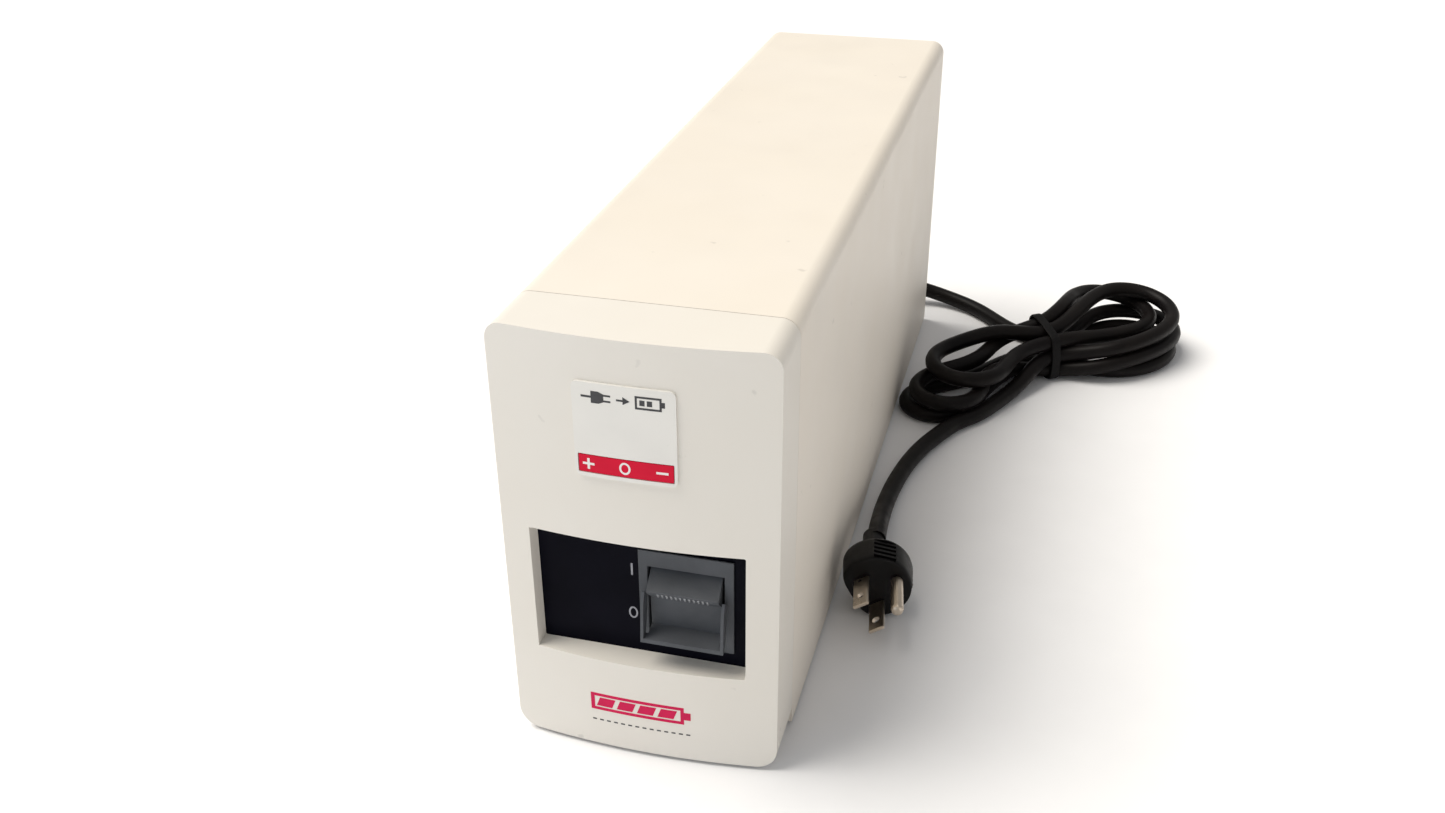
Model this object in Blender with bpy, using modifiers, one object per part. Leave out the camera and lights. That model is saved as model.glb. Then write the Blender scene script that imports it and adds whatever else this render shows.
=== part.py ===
"""Slim tower uninterruptible power supply with its tied mains cord. Blender 4.5, metres, +Z up.

The front faces -Y, the rear panel +Y, and the origin is under the middle of the case.
Driving dimensions below are in millimetres, as on a drawing; mm() turns them into metres.
"""

import math

import bmesh
import bpy
from mathutils import Matrix, Vector

GAP = 0.3  # clearance between pieces that touch

# Case
CASE_W, CASE_H, CASE_D = 92.0, 157.0, 378.0
WALL = 2.5
CASE_FLOOR = 1.5  # bottom edge of cover and bezel above the table
TOP_RADIUS, FOOT_RADIUS = 6.0, 7.0
REAR_Y = CASE_D / 2
FRONT_Y = -CASE_D / 2 + 0.8  # apex of the bowed front; the label stands 0.8 proud of it
FRONT_SAG = 3.8
SEAM_Y = -161.0
HALF_IN = CASE_W / 2 - WALL  # inner half width
TOP_IN = CASE_H - WALL
REAR_LIP = 3.0

# Window in the bezel, and the control panel behind it
WINDOW_X, WINDOW_Z0, WINDOW_Z1 = 35.5, 39.3, 85.9
SLEEVE_WALL = 1.8
PANEL_Y = -180.4
PANEL_T = 2.0

# Power switch
SWITCH_X = 14.6
FRAME_W, FRAME_Z0, FRAME_Z1 = 31.8, 44.4, 80.2
FRAME_T = 0.7
MOUTH_W, MOUTH_Z0, MOUTH_Z1 = 25.6, 45.9, 74.2
TUNNEL_WALL = 0.9
TUNNEL_BACK_Y = -170.0
PIVOT_Y, PIVOT_Z = -174.0, 60.0
PIN_R = 1.5
ROCKER_W, CHEEK_W = 24.0, 27.8

# Label
LABEL_X, LABEL_Z, LABEL_SIZE, LABEL_T = -1.3, 126.3, 32.6, 0.5
BAND_Z, BAND_W, BAND_H = 114.6, 30.2, 6.0

# Base, battery and door
BASE_Z, BASE_T = 4.0, 1.6
BATTERY_W, BATTERY_L, BATTERY_H = 65.0, 151.0, 94.0
BATTERY_Y = -64.5
DOOR_T = 1.5
FOOT_R, FOOT_X, FOOT_Y = 6.5, 33.0, (-153.0, 166.0)

# Transformer
CORE_Y, CORE_L, CORE_H, CORE_STACK, LEG = 67.0, 84.0, 70.0, 44.0, 14.0
CORE_Z = 7.8
COIL_HALF = 36.0

# Main board
BOARD_Z, BOARD_T = 112.0, 1.6
BOARD_Y = (-70.0, 150.0)

# Rear panel
PANEL_REAR_Y, PANEL_REAR_T = 181.0, 1.6
OUTLET_X, OUTLET_Z = -14.0, (132.0, 98.0, 64.0)
OUTLET_W, OUTLET_H, OUTLET_BACK = 30.0, 27.0, 168.0
OUTLET_FACE_Y = 184.6
BREAKER_X, BREAKER_Z = 24.0, 130.0
BUSHING_R, BUTTON_R = 4.6, 3.0
SCREW_X, SCREW_Z = 37.0, (13.0, 146.0)
VENT_X, VENT_W, VENT_H, VENT_Z = 25.0, 20.0, 2.6, [40.0 + 8.0 * i for i in range(8)]

# Mains cord
CORD_R = 3.9
GLAND = (8.0, 16.0)
BOOT = [(8.0, 176.0, 16.0), (8.0, 183.0, 16.0), (8.7, 190.0, 15.9), (11.4, 196.6, 15.5), (16.2, 201.8, 14.8)]
LEAD = [
    (17.3, 202.9, 14.6), (21.6, 206.4, 13.6), (28.5, 209.6, 11.9), (37.0, 211.2, 9.8), (46.0, 211.7, 7.6),
    (55.0, 210.3, 5.9), (64.0, 206.9, 4.8), (73.0, 201.5, 4.2), (81.0, 194.6, 4.1), (88.0, 186.6, 4.1),
    (94.2, 177.8, 4.6),
]
TAIL = [
    (66.4, 47.0, 5.0), (66.0, 36.0, 4.3), (65.2, 24.0, 4.1), (63.8, 9.0, 4.1), (61.9, -7.0, 4.3),
    (59.8, -21.0, 5.4), (58.0, -33.0, 7.9), (57.2, -42.5, 10.8), (57.5, -50.5, 13.4), (58.56, -57.8, 14.4),
]
HANK = [
    (66, 49), (81, 66), (97, 95), (109, 117), (116.8, 128.1), (123.6, 132.3), (146, 131), (165, 140),
    (180, 160), (186, 185), (183, 210), (174, 230), (158, 238), (141, 232), (127, 213), (116, 186),
    (110.2, 153.9), (103.4, 149.7), (88, 152), (71, 127), (59, 100), (49.5, 84), (47.6, 66), (52, 52),
]
HANK_Z = (1.6, 26.6)
TIE_AT, TIE_ANGLE, TIE_BAND, TIE_T = (113.5, 141.0), 32.0, 5.6, 1.2
TIE_INNER = (13.9, 25.6)  # half width across the hank, and height

# Plug
PLUG_AT = Vector((61.5, -93.0, 12.9))
PLUG_YAW, PLUG_ROLL = 9.0, 30.0
PLUG_R, PLUG_FLAT, PLUG_SHIFT = 14.0, -8.0, 3.0
BLADE_PITCH, GROUND_PITCH = 12.7, 11.9


def mm(*values):
    """Millimetres to metres: one number, or a Vector of several."""
    if len(values) == 1:
        return values[0] / 1000
    return Vector(values) / 1000


def clear_scene():
    for obj in list(bpy.data.objects):
        bpy.data.objects.remove(obj)


def collection(name):
    made = bpy.data.collections.new(name)
    bpy.context.scene.collection.children.link(made)
    return made


def material(name, colour, roughness, metallic=0.0):
    made = bpy.data.materials.new(name)
    made.use_nodes = True
    shader = made.node_tree.nodes["Principled BSDF"]
    shader.inputs["Base Color"].default_value = (*colour, 1)
    shader.inputs["Roughness"].default_value = roughness
    shader.inputs["Metallic"].default_value = metallic
    made.diffuse_color = (*colour, 1)
    return made


def finish_object(obj, finish):
    """Puts an object in the parts, or with no finish among the cutters."""
    (PARTS if finish else CUTTERS).objects.link(obj)
    if finish:
        obj.data.materials.append(material(obj.name, *finish))
    else:
        obj.hide_render = True
        obj.display_type = "WIRE"
    return obj


def from_bmesh(name, bm, finish):
    bmesh.ops.recalc_face_normals(bm, faces=bm.faces)
    mesh = bpy.data.meshes.new(name)
    bm.to_mesh(mesh)
    bm.free()
    mesh.shade_smooth()
    mesh.set_sharp_from_angle(angle=math.radians(40))
    return finish_object(bpy.data.objects.new(name, mesh), finish)


def add_box(bm, low, high):
    size = Vector(high) - Vector(low)
    centre = (Vector(high) + Vector(low)) / 2
    matrix = Matrix.Translation(centre / 1000) @ Matrix.Diagonal((*size / 1000, 1))
    bmesh.ops.create_cube(bm, size=1, matrix=matrix)


def box(name, low, high, finish=None, bevel=0.0, steps=2):
    bm = bmesh.new()
    add_box(bm, low, high)
    obj = from_bmesh(name, bm, finish)
    if bevel:
        add_bevel(obj, bevel, steps)
    return obj


def boxes(name, corners, finish=None):
    """Several separate boxes in one object, for cutters."""
    bm = bmesh.new()
    for low, high in corners:
        add_box(bm, low, high)
    return from_bmesh(name, bm, finish)


def turn_to(axis):
    """Matrix that turns local +Z to a world axis, X and Y staying as near as they can."""
    columns = {
        "X": ((0, 1, 0), (0, 0, 1), (1, 0, 0)),
        "Y": ((-1, 0, 0), (0, 0, 1), (0, 1, 0)),
        "Z": ((1, 0, 0), (0, 1, 0), (0, 0, 1)),
    }[axis]
    return Matrix(columns).transposed().to_4x4()


def add_cylinder(bm, centre, axis, radius, length, sides=24, top=None):
    matrix = Matrix.Translation(mm(*centre)) @ turn_to(axis)
    bmesh.ops.create_cone(
        bm, cap_ends=True, segments=sides, radius1=mm(radius), radius2=mm(radius if top is None else top),
        depth=mm(length), matrix=matrix,
    )


def cylinder(name, centre, axis, radius, length, finish=None, sides=24, top=None):
    bm = bmesh.new()
    add_cylinder(bm, centre, axis, radius, length, sides, top)
    return from_bmesh(name, bm, finish)


def add_bevel(obj, width, steps=2, angle=50):
    bevel = obj.modifiers.new("edges", "BEVEL")
    bevel.width = mm(width)
    bevel.segments = steps
    bevel.limit_method = "ANGLE"
    bevel.angle_limit = math.radians(angle)
    return obj


def boolean(obj, other, operation):
    modifier = obj.modifiers.new(other.name, "BOOLEAN")
    modifier.operation = operation
    modifier.object = other
    return obj


def cut(obj, *others):
    for other in others:
        boolean(obj, other, "DIFFERENCE")
    return obj


def join(obj, *others):
    for other in others:
        boolean(obj, other, "UNION")
    return obj


def rounded(width, height, radii, steps=5):
    """Outline of a rectangle about the origin, anticlockwise from the low right corner. radii: low, high."""
    low, high = radii
    points = []
    for sx, sy, radius, start in ((1, -1, low, -90), (1, 1, high, 0), (-1, 1, high, 90), (-1, -1, low, 180)):
        cx, cy = sx * (width / 2 - radius), sy * (height / 2 - radius)
        for i in range(steps + 1):
            angle = math.radians(start + 90 * i / steps)
            points.append((cx + radius * math.cos(angle), cy + radius * math.sin(angle)))
    return points


def prism(name, outline, centre, axis, thickness, finish=None):
    """A flat outline given thickness along an axis. It runs in XY for Z, in YZ for X, and in XZ for Y."""
    curve = bpy.data.curves.new(name, "CURVE")
    curve.dimensions = "2D"
    curve.fill_mode = "BOTH"
    curve.extrude = mm(thickness / 2)
    spline = curve.splines.new("POLY")
    spline.points.add(len(outline) - 1)
    flip = -1 if axis == "Y" else 1
    for point, (u, v) in zip(spline.points, outline):
        point.co = (flip * mm(u), mm(v), 0, 1)
    spline.use_cyclic_u = True
    return as_mesh(name, curve, Matrix.Translation(mm(*centre)) @ turn_to(axis), finish)


def as_mesh(name, curve, matrix, finish):
    """The curve's surface as a mesh object with welded caps, in place."""
    guide = bpy.data.objects.new("guide", curve)
    bpy.context.scene.collection.objects.link(guide)
    graph = bpy.context.evaluated_depsgraph_get()
    mesh = bpy.data.meshes.new_from_object(guide.evaluated_get(graph))
    bpy.data.objects.remove(guide)
    bm = bmesh.new()
    bm.from_mesh(mesh)
    bpy.data.meshes.remove(mesh)
    bmesh.ops.remove_doubles(bm, verts=bm.verts, dist=1e-6)
    bmesh.ops.transform(bm, matrix=matrix, verts=bm.verts)
    return from_bmesh(name, bm, finish)


def smooth_path(points, spacing):
    """Points an even distance apart on a Catmull-Rom curve through the given ones, both ends kept."""
    knots = [Vector(p) for p in points]
    knots = [2 * knots[0] - knots[1], *knots, 2 * knots[-1] - knots[-2]]
    fine = []
    for a, b, c, d in zip(knots, knots[1:], knots[2:], knots[3:]):
        for i in range(12):
            t = i / 12
            fine.append(0.5 * (2 * b + (c - a) * t + (2 * a - 5 * b + 4 * c - d) * t**2
                               + (3 * b - a - 3 * c + d) * t**3))
    fine.append(knots[-2])
    total = sum((b - a).length for a, b in zip(fine, fine[1:]))
    count = max(2, round(total / spacing))
    path, walked, target = [fine[0]], 0.0, total / count
    for a, b in zip(fine, fine[1:]):
        step = (b - a).length
        while len(path) < count and walked + step >= target * len(path):
            path.append(a.lerp(b, (target * len(path) - walked) / step))
        walked += step
    return [*path, fine[-1]]


def tube(name, path, radius, finish, radii=None, sides=2):
    """A round solid along a path; radii are factors of the radius at each point."""
    curve = bpy.data.curves.new(name, "CURVE")
    curve.dimensions = "3D"
    curve.bevel_depth = mm(radius)
    curve.bevel_resolution = sides
    curve.use_fill_caps = True
    spline = curve.splines.new("POLY")
    spline.points.add(len(path) - 1)
    for i, (point, place) in enumerate(zip(spline.points, path)):
        point.co = (*mm(*place), 1)
        point.radius = radii[i] if radii else 1
    return as_mesh(name, curve, Matrix.Identity(4), finish)


def front_arc(offset, half, steps=16):
    """Plan points of the bowed front from -half to half, moved back by offset."""
    radius = (CASE_W**2 / 4 + FRONT_SAG**2) / (2 * FRONT_SAG) - offset
    points = []
    for i in range(steps + 1):
        x = -half + 2 * half * i / steps
        points.append((x, FRONT_Y + offset + radius - math.sqrt(radius**2 - x**2)))
    return points


# Finishes: colour, roughness, metallic
CREAM = ((0.80, 0.76, 0.67), 0.5)
BLACK = ((0.012, 0.012, 0.016), 0.25)
GREY = ((0.09, 0.10, 0.11), 0.45)
LABEL = ((0.83, 0.80, 0.73), 0.4)
RED = ((0.67, 0.01, 0.04), 0.4)
RUBBER = ((0.02, 0.02, 0.022), 0.6)
STEEL = ((0.55, 0.56, 0.57), 0.35, 1.0)
BRASS = ((0.45, 0.38, 0.28), 0.35, 1.0)
BOARD = ((0.02, 0.14, 0.06), 0.5)
IRON = ((0.18, 0.18, 0.19), 0.5, 0.6)
TAPE = ((0.62, 0.42, 0.06), 0.5)
BATTERY = ((0.06, 0.065, 0.075), 0.5)
DARK = ((0.03, 0.03, 0.034), 0.45)
RED_WIRE = ((0.5, 0.01, 0.01), 0.5)
LAMP_GREEN = ((0.05, 0.5, 0.1), 0.3)
LAMP_RED = ((0.6, 0.03, 0.02), 0.3)
ALUMINIUM = ((0.7, 0.7, 0.72), 0.35, 1.0)


def outer_cover():
    """Top and two sides in one sleeve, open below, with a narrow lip round the rear."""
    height = CASE_H - CASE_FLOOR
    length = REAR_Y - SEAM_Y
    outline = rounded(CASE_W, height + 30, (TOP_RADIUS, TOP_RADIUS))
    middle = (0, (REAR_Y + SEAM_Y) / 2 - 5, CASE_H - height / 2 - 15)
    cover = prism("outer_cover", outline, middle, "Y", length + 10, CREAM)
    add_bevel(cover, 2.4, 2)
    inner = rounded(2 * HALF_IN, 200, (3.5, 3.5))
    inside = prism("cover_inside", inner, (0, REAR_Y - WALL - 220, TOP_IN - 100), "Y", 440)
    lip = rounded(2 * (HALF_IN - REAR_LIP), 200, (2, 2))
    mouth = prism("cover_mouth", lip, (0, REAR_Y, TOP_IN - REAR_LIP - 100), "Y", 40)
    front = box("cover_front_trim", (-60, SEAM_Y - 40, -60), (60, SEAM_Y + GAP, 200))
    below = box("cover_low_trim", (-60, SEAM_Y - 50, -60), (60, REAR_Y + 20, CASE_FLOOR))
    cut(cover, inside, mouth, front, below)
    for side, tag in ((-1, "left"), (1, "right")):
        x = side * SCREW_X
        boss = box(f"boss_{tag}", (x - 5, 165, SCREW_Z[1] - 5), (x + 5, PANEL_REAR_Y - GAP, SCREW_Z[1] + 5))
        wall = box(f"boss_rib_{tag}", (x - 1.2, 167, SCREW_Z[1] + 3), (x + 1.2, 178, CASE_H - 1))
        edge, out = side * (HALF_IN - 2.5), side * (HALF_IN + 1)
        rail = box(
            f"rail_{tag}", (min(edge, out), BOARD_Y[0] - 5, BOARD_Z - GAP - 2),
            (max(edge, out), BOARD_Y[1] + 5, BOARD_Z - GAP))
        join(cover, boss, wall, rail)
        cut(cover, cylinder(f"boss_bore_{tag}", (x, 179, SCREW_Z[1]), "Y", 2.0, 22, None, 12))
    return cover


def front_bezel():
    """Bowed front with side returns, and a sleeve that leads from the window back to the control panel."""
    plan = [*front_arc(0, CASE_W / 2), (CASE_W / 2, SEAM_Y + 20), (-CASE_W / 2, SEAM_Y + 20)]
    middle_z = (CASE_H + CASE_FLOOR) / 2
    bezel = prism("front_bezel", plan, (0, 0, middle_z), "Z", CASE_H - CASE_FLOOR, CREAM)
    face = rounded(CASE_W, CASE_H - CASE_FLOOR, (FOOT_RADIUS, TOP_RADIUS))
    boolean(bezel, prism("bezel_face", face, (0, -170, middle_z), "Y", 90), "INTERSECT")
    add_bevel(bezel, 1.6, 2)
    inner = [*front_arc(WALL, HALF_IN), (HALF_IN, -120), (-HALF_IN, -120)]
    hollow = prism("bezel_hollow", inner, (0, 0, middle_z), "Z", CASE_H - CASE_FLOOR - 2 * WALL)
    sleeve = boxes("window_sleeve", [(
        (-WINDOW_X - SLEEVE_WALL, -200, WINDOW_Z0 - SLEEVE_WALL),
        (WINDOW_X + SLEEVE_WALL, PANEL_Y - GAP, WINDOW_Z1 + SLEEVE_WALL),
    )])
    cut(hollow, sleeve)
    trims = boxes("bezel_trims", [
        ((-60, SEAM_Y, -20), (60, SEAM_Y + 40, 200)),
        ((-WINDOW_X, -220, WINDOW_Z0), (WINDOW_X, SEAM_Y - 5, WINDOW_Z1)),
    ])
    return cut(bezel, hollow, trims)


def control_panel():
    edge = WINDOW_X + SLEEVE_WALL + 1
    panel = box(
        "control_panel", (-edge, PANEL_Y, WINDOW_Z0 - 3), (edge, PANEL_Y + PANEL_T, WINDOW_Z1 + 3), BLACK)
    reach = MOUTH_W / 2 + TUNNEL_WALL + GAP
    hole = box(
        "panel_hole", (SWITCH_X - reach, PANEL_Y - 5, MOUTH_Z0 - TUNNEL_WALL - GAP),
        (SWITCH_X + reach, PANEL_Y + 9, MOUTH_Z1 + TUNNEL_WALL + GAP))
    posts = bmesh.new()
    for x in (-30, -7):
        for z in (46.5, 79.5):
            add_cylinder(posts, (x, PANEL_Y + 4.7, z), "Y", 1.6, 7.6, 12)
    return join(cut(panel, hole), from_bmesh("panel_posts", posts, None))


def switch_frame():
    """Plate in front of the panel, and a tunnel through it whose side walls hold the rocker's pin."""
    front = PANEL_Y - GAP - FRAME_T
    low = (SWITCH_X - FRAME_W / 2, front, FRAME_Z0)
    high = (SWITCH_X + FRAME_W / 2, PANEL_Y - GAP, FRAME_Z1)
    frame = box("switch_frame", low, high, GREY)
    reach = MOUTH_W / 2 + TUNNEL_WALL
    tunnel = box(
        "switch_tunnel", (SWITCH_X - reach, front + 0.2, MOUTH_Z0 - TUNNEL_WALL),
        (SWITCH_X + reach, TUNNEL_BACK_Y, MOUTH_Z1 + TUNNEL_WALL))
    mouth = box(
        "switch_mouth", (SWITCH_X - MOUTH_W / 2, -195, MOUTH_Z0), (SWITCH_X + MOUTH_W / 2, -160, MOUTH_Z1))
    bore = cylinder("pin_bore", (SWITCH_X, PIVOT_Y, PIVOT_Z), "X", PIN_R + 0.15, 60)
    return cut(join(frame, tunnel), mouth, bore)


def power_rocker():
    """Rocker with a ramp above a ridge, and a scoop with side cheeks below it. Its origin is on its pin."""
    core = [
        (-179.6, 73.4), (-186.0, 67.9), (-185.6, 66.7), (-181.4, 62.6), (-180.9, 51.4), (-187.7, 49.9),
        (-187.9, 48.5), (-185.6, 48.3), (-184.7, 49.2), (-178.4, 49.4), (-175.0, 52.0), (-171.4, 57.5),
        (-170.9, 60.0), (-171.4, 62.5), (-174.6, 70.6), (-178.4, 73.6),
    ]
    fin = [(-186.3, 67.7), (-187.8, 50.0), (-187.9, 48.5), (-185.6, 48.3), (-183.2, 56.0), (-182.3, 66.8)]
    web = [(-186.1, 67.6), (-187.6, 50.0), (-187.6, 48.9), (-179.5, 49.4), (-179.5, 66.9)]
    centre = (SWITCH_X, 0, 0)
    rocker = prism("power_rocker", core, centre, "X", ROCKER_W, GREY)
    fins, webs = [], []
    for side, tag in ((-1, "left"), (1, "right")):
        thick = (CHEEK_W - ROCKER_W) / 2 + 0.7
        x = SWITCH_X + side * (CHEEK_W / 2 - thick / 2)
        fins.append(prism("fin_" + tag, fin, (x, 0, 0), "X", thick))
        webs.append(prism("web_" + tag, web, (SWITCH_X + side * (ROCKER_W / 2 - 0.45), 0, 0), "X", 0.7))
    lip = prism(
        "lip", [(-187.75, 49.95), (-187.9, 48.5), (-185.6, 48.3), (-184.9, 50.3)], centre, "X", CHEEK_W - 0.2)
    bore = cylinder("rocker_bore", (SWITCH_X, PIVOT_Y, PIVOT_Z), "X", PIN_R + 0.15, 60)
    cut(join(rocker, *fins, *webs, lip), bore)
    pivot = mm(SWITCH_X, PIVOT_Y, PIVOT_Z)
    rocker.data.transform(Matrix.Translation(-pivot))
    rocker.location = pivot
    return rocker


def switch_parts():
    reach = MOUTH_W / 2 + TUNNEL_WALL
    cylinder("rocker_pin", (SWITCH_X, PIVOT_Y, PIVOT_Z), "X", PIN_R, 2 * reach - 0.2, STEEL)
    box(
        "switch_body", (SWITCH_X - reach, TUNNEL_BACK_Y + GAP, MOUTH_Z0 - TUNNEL_WALL),
        (SWITCH_X + reach, -147, MOUTH_Z1 + TUNNEL_WALL), DARK, 1.0, 1)
    box("lamp_board", (-33, -171.6, 44), (-4, -170.0, 82), BOARD)
    for z, finish, tag in ((70, LAMP_GREEN, "on_line"), (54, LAMP_RED, "on_battery")):
        lamp = cylinder("lamp_" + tag, (-18, -174.8, z), "Y", 2.5, 5.6, finish, 16)
        add_bevel(lamp, 1.2, 2)


def bent_plate(name, x, z, width, height, inner, outer, finish, radius):
    """A thin plate that follows the bowed front: offsets are distances in front of it."""
    plan = front_arc(-outer, width / 2 + abs(x) + 2)
    plan += reversed(front_arc(-inner, width / 2 + abs(x) + 2))
    plate = prism(name, plan, (0, 0, z), "Z", height + 4, finish)
    outline = rounded(width, height, (radius, radius), 3)
    return boolean(plate, prism(name + "_edge", outline, (x, FRONT_Y, z), "Y", 60), "INTERSECT")


def label():
    back, face = GAP, GAP + LABEL_T
    plate = bent_plate("label", LABEL_X, LABEL_Z, LABEL_SIZE, LABEL_SIZE, back, face, LABEL, 2.0)
    outline = rounded(BAND_W + 2 * GAP, BAND_H + 2 * GAP, (0.3, 0.3), 1)
    pocket = prism("band_pocket", outline, (LABEL_X, FRONT_Y, BAND_Z), "Y", 60)
    cut(plate, pocket)
    bent_plate("label_band", LABEL_X, BAND_Z, BAND_W, BAND_H, back, face, RED, 0.3)


def base_tray():
    """Shallow channel that carries the battery, the transformer and the rear panel."""
    half = HALF_IN - GAP
    length = PANEL_REAR_Y - GAP - (SEAM_Y + GAP)
    middle = (PANEL_REAR_Y + SEAM_Y) / 2
    channel = [
        (-half, BASE_Z), (half, BASE_Z), (half, 15), (half - BASE_T, 15), (half - BASE_T, BASE_Z + BASE_T),
        (-half + BASE_T, BASE_Z + BASE_T), (-half + BASE_T, 15), (-half, 15),
    ]
    tray = prism("base_tray", channel, (0, middle, 0), "Y", length, STEEL)
    opening = box(
        "door_opening", (-BATTERY_W / 2 - 1, BATTERY_Y - BATTERY_L / 2 - 2, -5),
        (BATTERY_W / 2 + 1, BATTERY_Y + BATTERY_L / 2 + 2, 12))
    bm = bmesh.new()
    for x in (-25, 25):
        add_cylinder(bm, (x, BATTERY_Y + BATTERY_L / 2 + 6, 4), "Z", 1.8, 20, 12)
    for x, tag in ((-SCREW_X, "left"), (SCREW_X, "right")):
        back = PANEL_REAR_Y - GAP
        join(tray, box(f"tab_{tag}", (x - 5.5, back - BASE_T, BASE_Z + 0.8), (x + 5.5, back, SCREW_Z[0] + 6)))
        add_cylinder(bm, (x, back, SCREW_Z[0]), "Y", 2.0, 20, 12)
    return cut(tray, opening, from_bmesh("tray_screw_holes", bm, None))


def battery_group():
    """Sealed battery in the tray's opening, and the screwed door that it rests on."""
    y0, y1 = BATTERY_Y - BATTERY_L / 2, BATTERY_Y + BATTERY_L / 2
    top = BASE_Z + BATTERY_H
    box("battery", (-BATTERY_W / 2, y0, BASE_Z), (BATTERY_W / 2, y1, top), BATTERY, 2.0, 2)
    door_z = BASE_Z - GAP
    door = box("battery_door", (-38, y0 - 4, door_z - DOOR_T), (38, y1 + 10, door_z), CREAM)
    bm = bmesh.new()
    for x in (-25, 25):
        add_cylinder(bm, (x, y1 + 6, 4), "Z", 1.8, 20, 12)
    cut(door, from_bmesh("door_screw_holes", bm, None))
    for x, tag in ((-25, "left"), (25, "right")):
        place = (x, y1 + 6)
        head = cylinder("door_screw_" + tag, (*place, 1.35), "Z", 3.2, 1.0, STEEL, 16)
        join(head, cylinder("door_shank_" + tag, (*place, 5.0), "Z", 1.4, 8.0, None, 12))
    for x, tag, finish in ((-24, "negative", DARK), (24, "positive", RED_WIRE)):
        box("terminal_" + tag, (x - 3.2, y0 + 8, top + GAP), (x + 3.2, y0 + 8.8, top + 8), BRASS)
        lead = [(0, 11.2, 5), (0, 17, 9.5), (-0.05 * x, 30, 9.8), (-0.1 * x, 62, 9.6)]
        path = [(x + u, y0 + v, top + w) for u, v, w in lead]
        tube("battery_lead_" + tag, smooth_path(path, 8), 1.6, finish)


def transformer():
    """Shell-type transformer: a core with two windows, a coil round its centre leg, and a clamp."""
    z0, z1 = CORE_Z, CORE_Z + CORE_H
    y0, y1 = CORE_Y - CORE_L / 2, CORE_Y + CORE_L / 2
    half = CORE_STACK / 2
    core = box("transformer_core", (-half, y0, z0), (half, y1, z1), IRON)
    windows = [((-60, y, z0 + LEG), (60, y + LEG, z1 - LEG)) for y in (y0 + LEG, y1 - 2 * LEG)]
    cut(core, boxes("core_windows", windows))
    coil = box(
        "transformer_coil", (-COIL_HALF, y0 + LEG + GAP, z0 + LEG + GAP),
        (COIL_HALF, y1 - LEG - GAP, z1 - LEG - GAP), TAPE, 3.0, 2)
    cut(coil, box(
        "coil_hole", (-half - GAP, y0 + 2 * LEG - GAP, -20), (half + GAP, y1 - 2 * LEG + GAP, 120)))
    foot, grip, sheet = BASE_Z + BASE_T + GAP, z0 + 42, 1.5
    inner, outer, toe = CORE_L / 2 + GAP, CORE_L / 2 + GAP + sheet, CORE_L / 2 + 12
    clamp = [
        (-toe, foot), (toe, foot), (toe, foot + sheet), (outer, foot + sheet), (outer, grip), (inner, grip),
        (inner, foot + sheet), (-inner, foot + sheet), (-inner, grip), (-outer, grip), (-outer, foot + sheet),
        (-toe, foot + sheet),
    ]
    prism("transformer_clamp", clamp, (0, CORE_Y, 0), "X", 30, STEEL)


def electronics():
    """Main board above the battery and the transformer, with its taller components."""
    top = BOARD_Z + BOARD_T + GAP
    half = HALF_IN - GAP
    box("main_board", (-half, BOARD_Y[0], BOARD_Z), (half, BOARD_Y[1], BOARD_Z + BOARD_T), BOARD)
    comb = [(-34, 0), (-8, 0)]
    for x in (-8, -14, -20, -26, -32):
        comb += [(x, 4), (x, 30), (x - 2, 30), (x - 2, 4)]
    prism("heat_sink", comb[:2] + comb[3:-1], (0, 70, top), "Y", 60, ALUMINIUM)
    box("transfer_relay", (8, 60, top), (28, 88, top + 16), DARK, 0.8, 1)
    for i, y in enumerate((105, 128)):
        add_bevel(cylinder(f"capacitor_{i + 1}", (20, y, top + 15), "Z", 9, 30, BATTERY, 20), 1, 1)
    cylinder("buzzer", (0, -40, top + 4.5), "Z", 7, 9, DARK, 20)


def rear_panel():
    half = HALF_IN - GAP
    top = TOP_IN - GAP
    middle = PANEL_REAR_Y + PANEL_REAR_T / 2
    outline = rounded(2 * half, top - BASE_Z, (0.5, 3.2), 3)
    panel = prism("rear_panel", outline, (0, middle, (top + BASE_Z) / 2), "Y", PANEL_REAR_T, STEEL)
    low, high = PANEL_REAR_Y - 9, PANEL_REAR_Y + 9
    half_w, half_h = OUTLET_W / 2 + GAP, OUTLET_H / 2 + GAP
    holes = [
        ((OUTLET_X - half_w, low, z - half_h), (OUTLET_X + half_w, high, z + half_h)) for z in OUTLET_Z
    ]
    holes += [((VENT_X - VENT_W / 2, low, z), (VENT_X + VENT_W / 2, high, z + VENT_H)) for z in VENT_Z]
    rounds = bmesh.new()
    add_cylinder(rounds, (BREAKER_X, middle, BREAKER_Z), "Y", BUSHING_R + GAP, 20, 20)
    add_cylinder(rounds, (GLAND[0], middle, GLAND[1]), "Y", 6.6, 20, 24)
    for x in (-SCREW_X, SCREW_X):
        for z in SCREW_Z:
            add_cylinder(rounds, (x, middle, z), "Y", 2.0, 20, 12)
    cut(panel, boxes("rear_openings", holes), from_bmesh("rear_round_holes", rounds, None))
    head_y = PANEL_REAR_Y + PANEL_REAR_T + GAP + 0.9
    for x, side in ((-SCREW_X, "left"), (SCREW_X, "right")):
        for z, row in zip(SCREW_Z, ("low", "high")):
            screw = cylinder(f"rear_screw_{row}_{side}", (x, head_y, z), "Y", 3.2, 1.8, STEEL, 16)
            join(screw, cylinder(f"rear_shank_{row}_{side}", (x, head_y - 6, z), "Y", 1.6, 12, None, 12))


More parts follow.
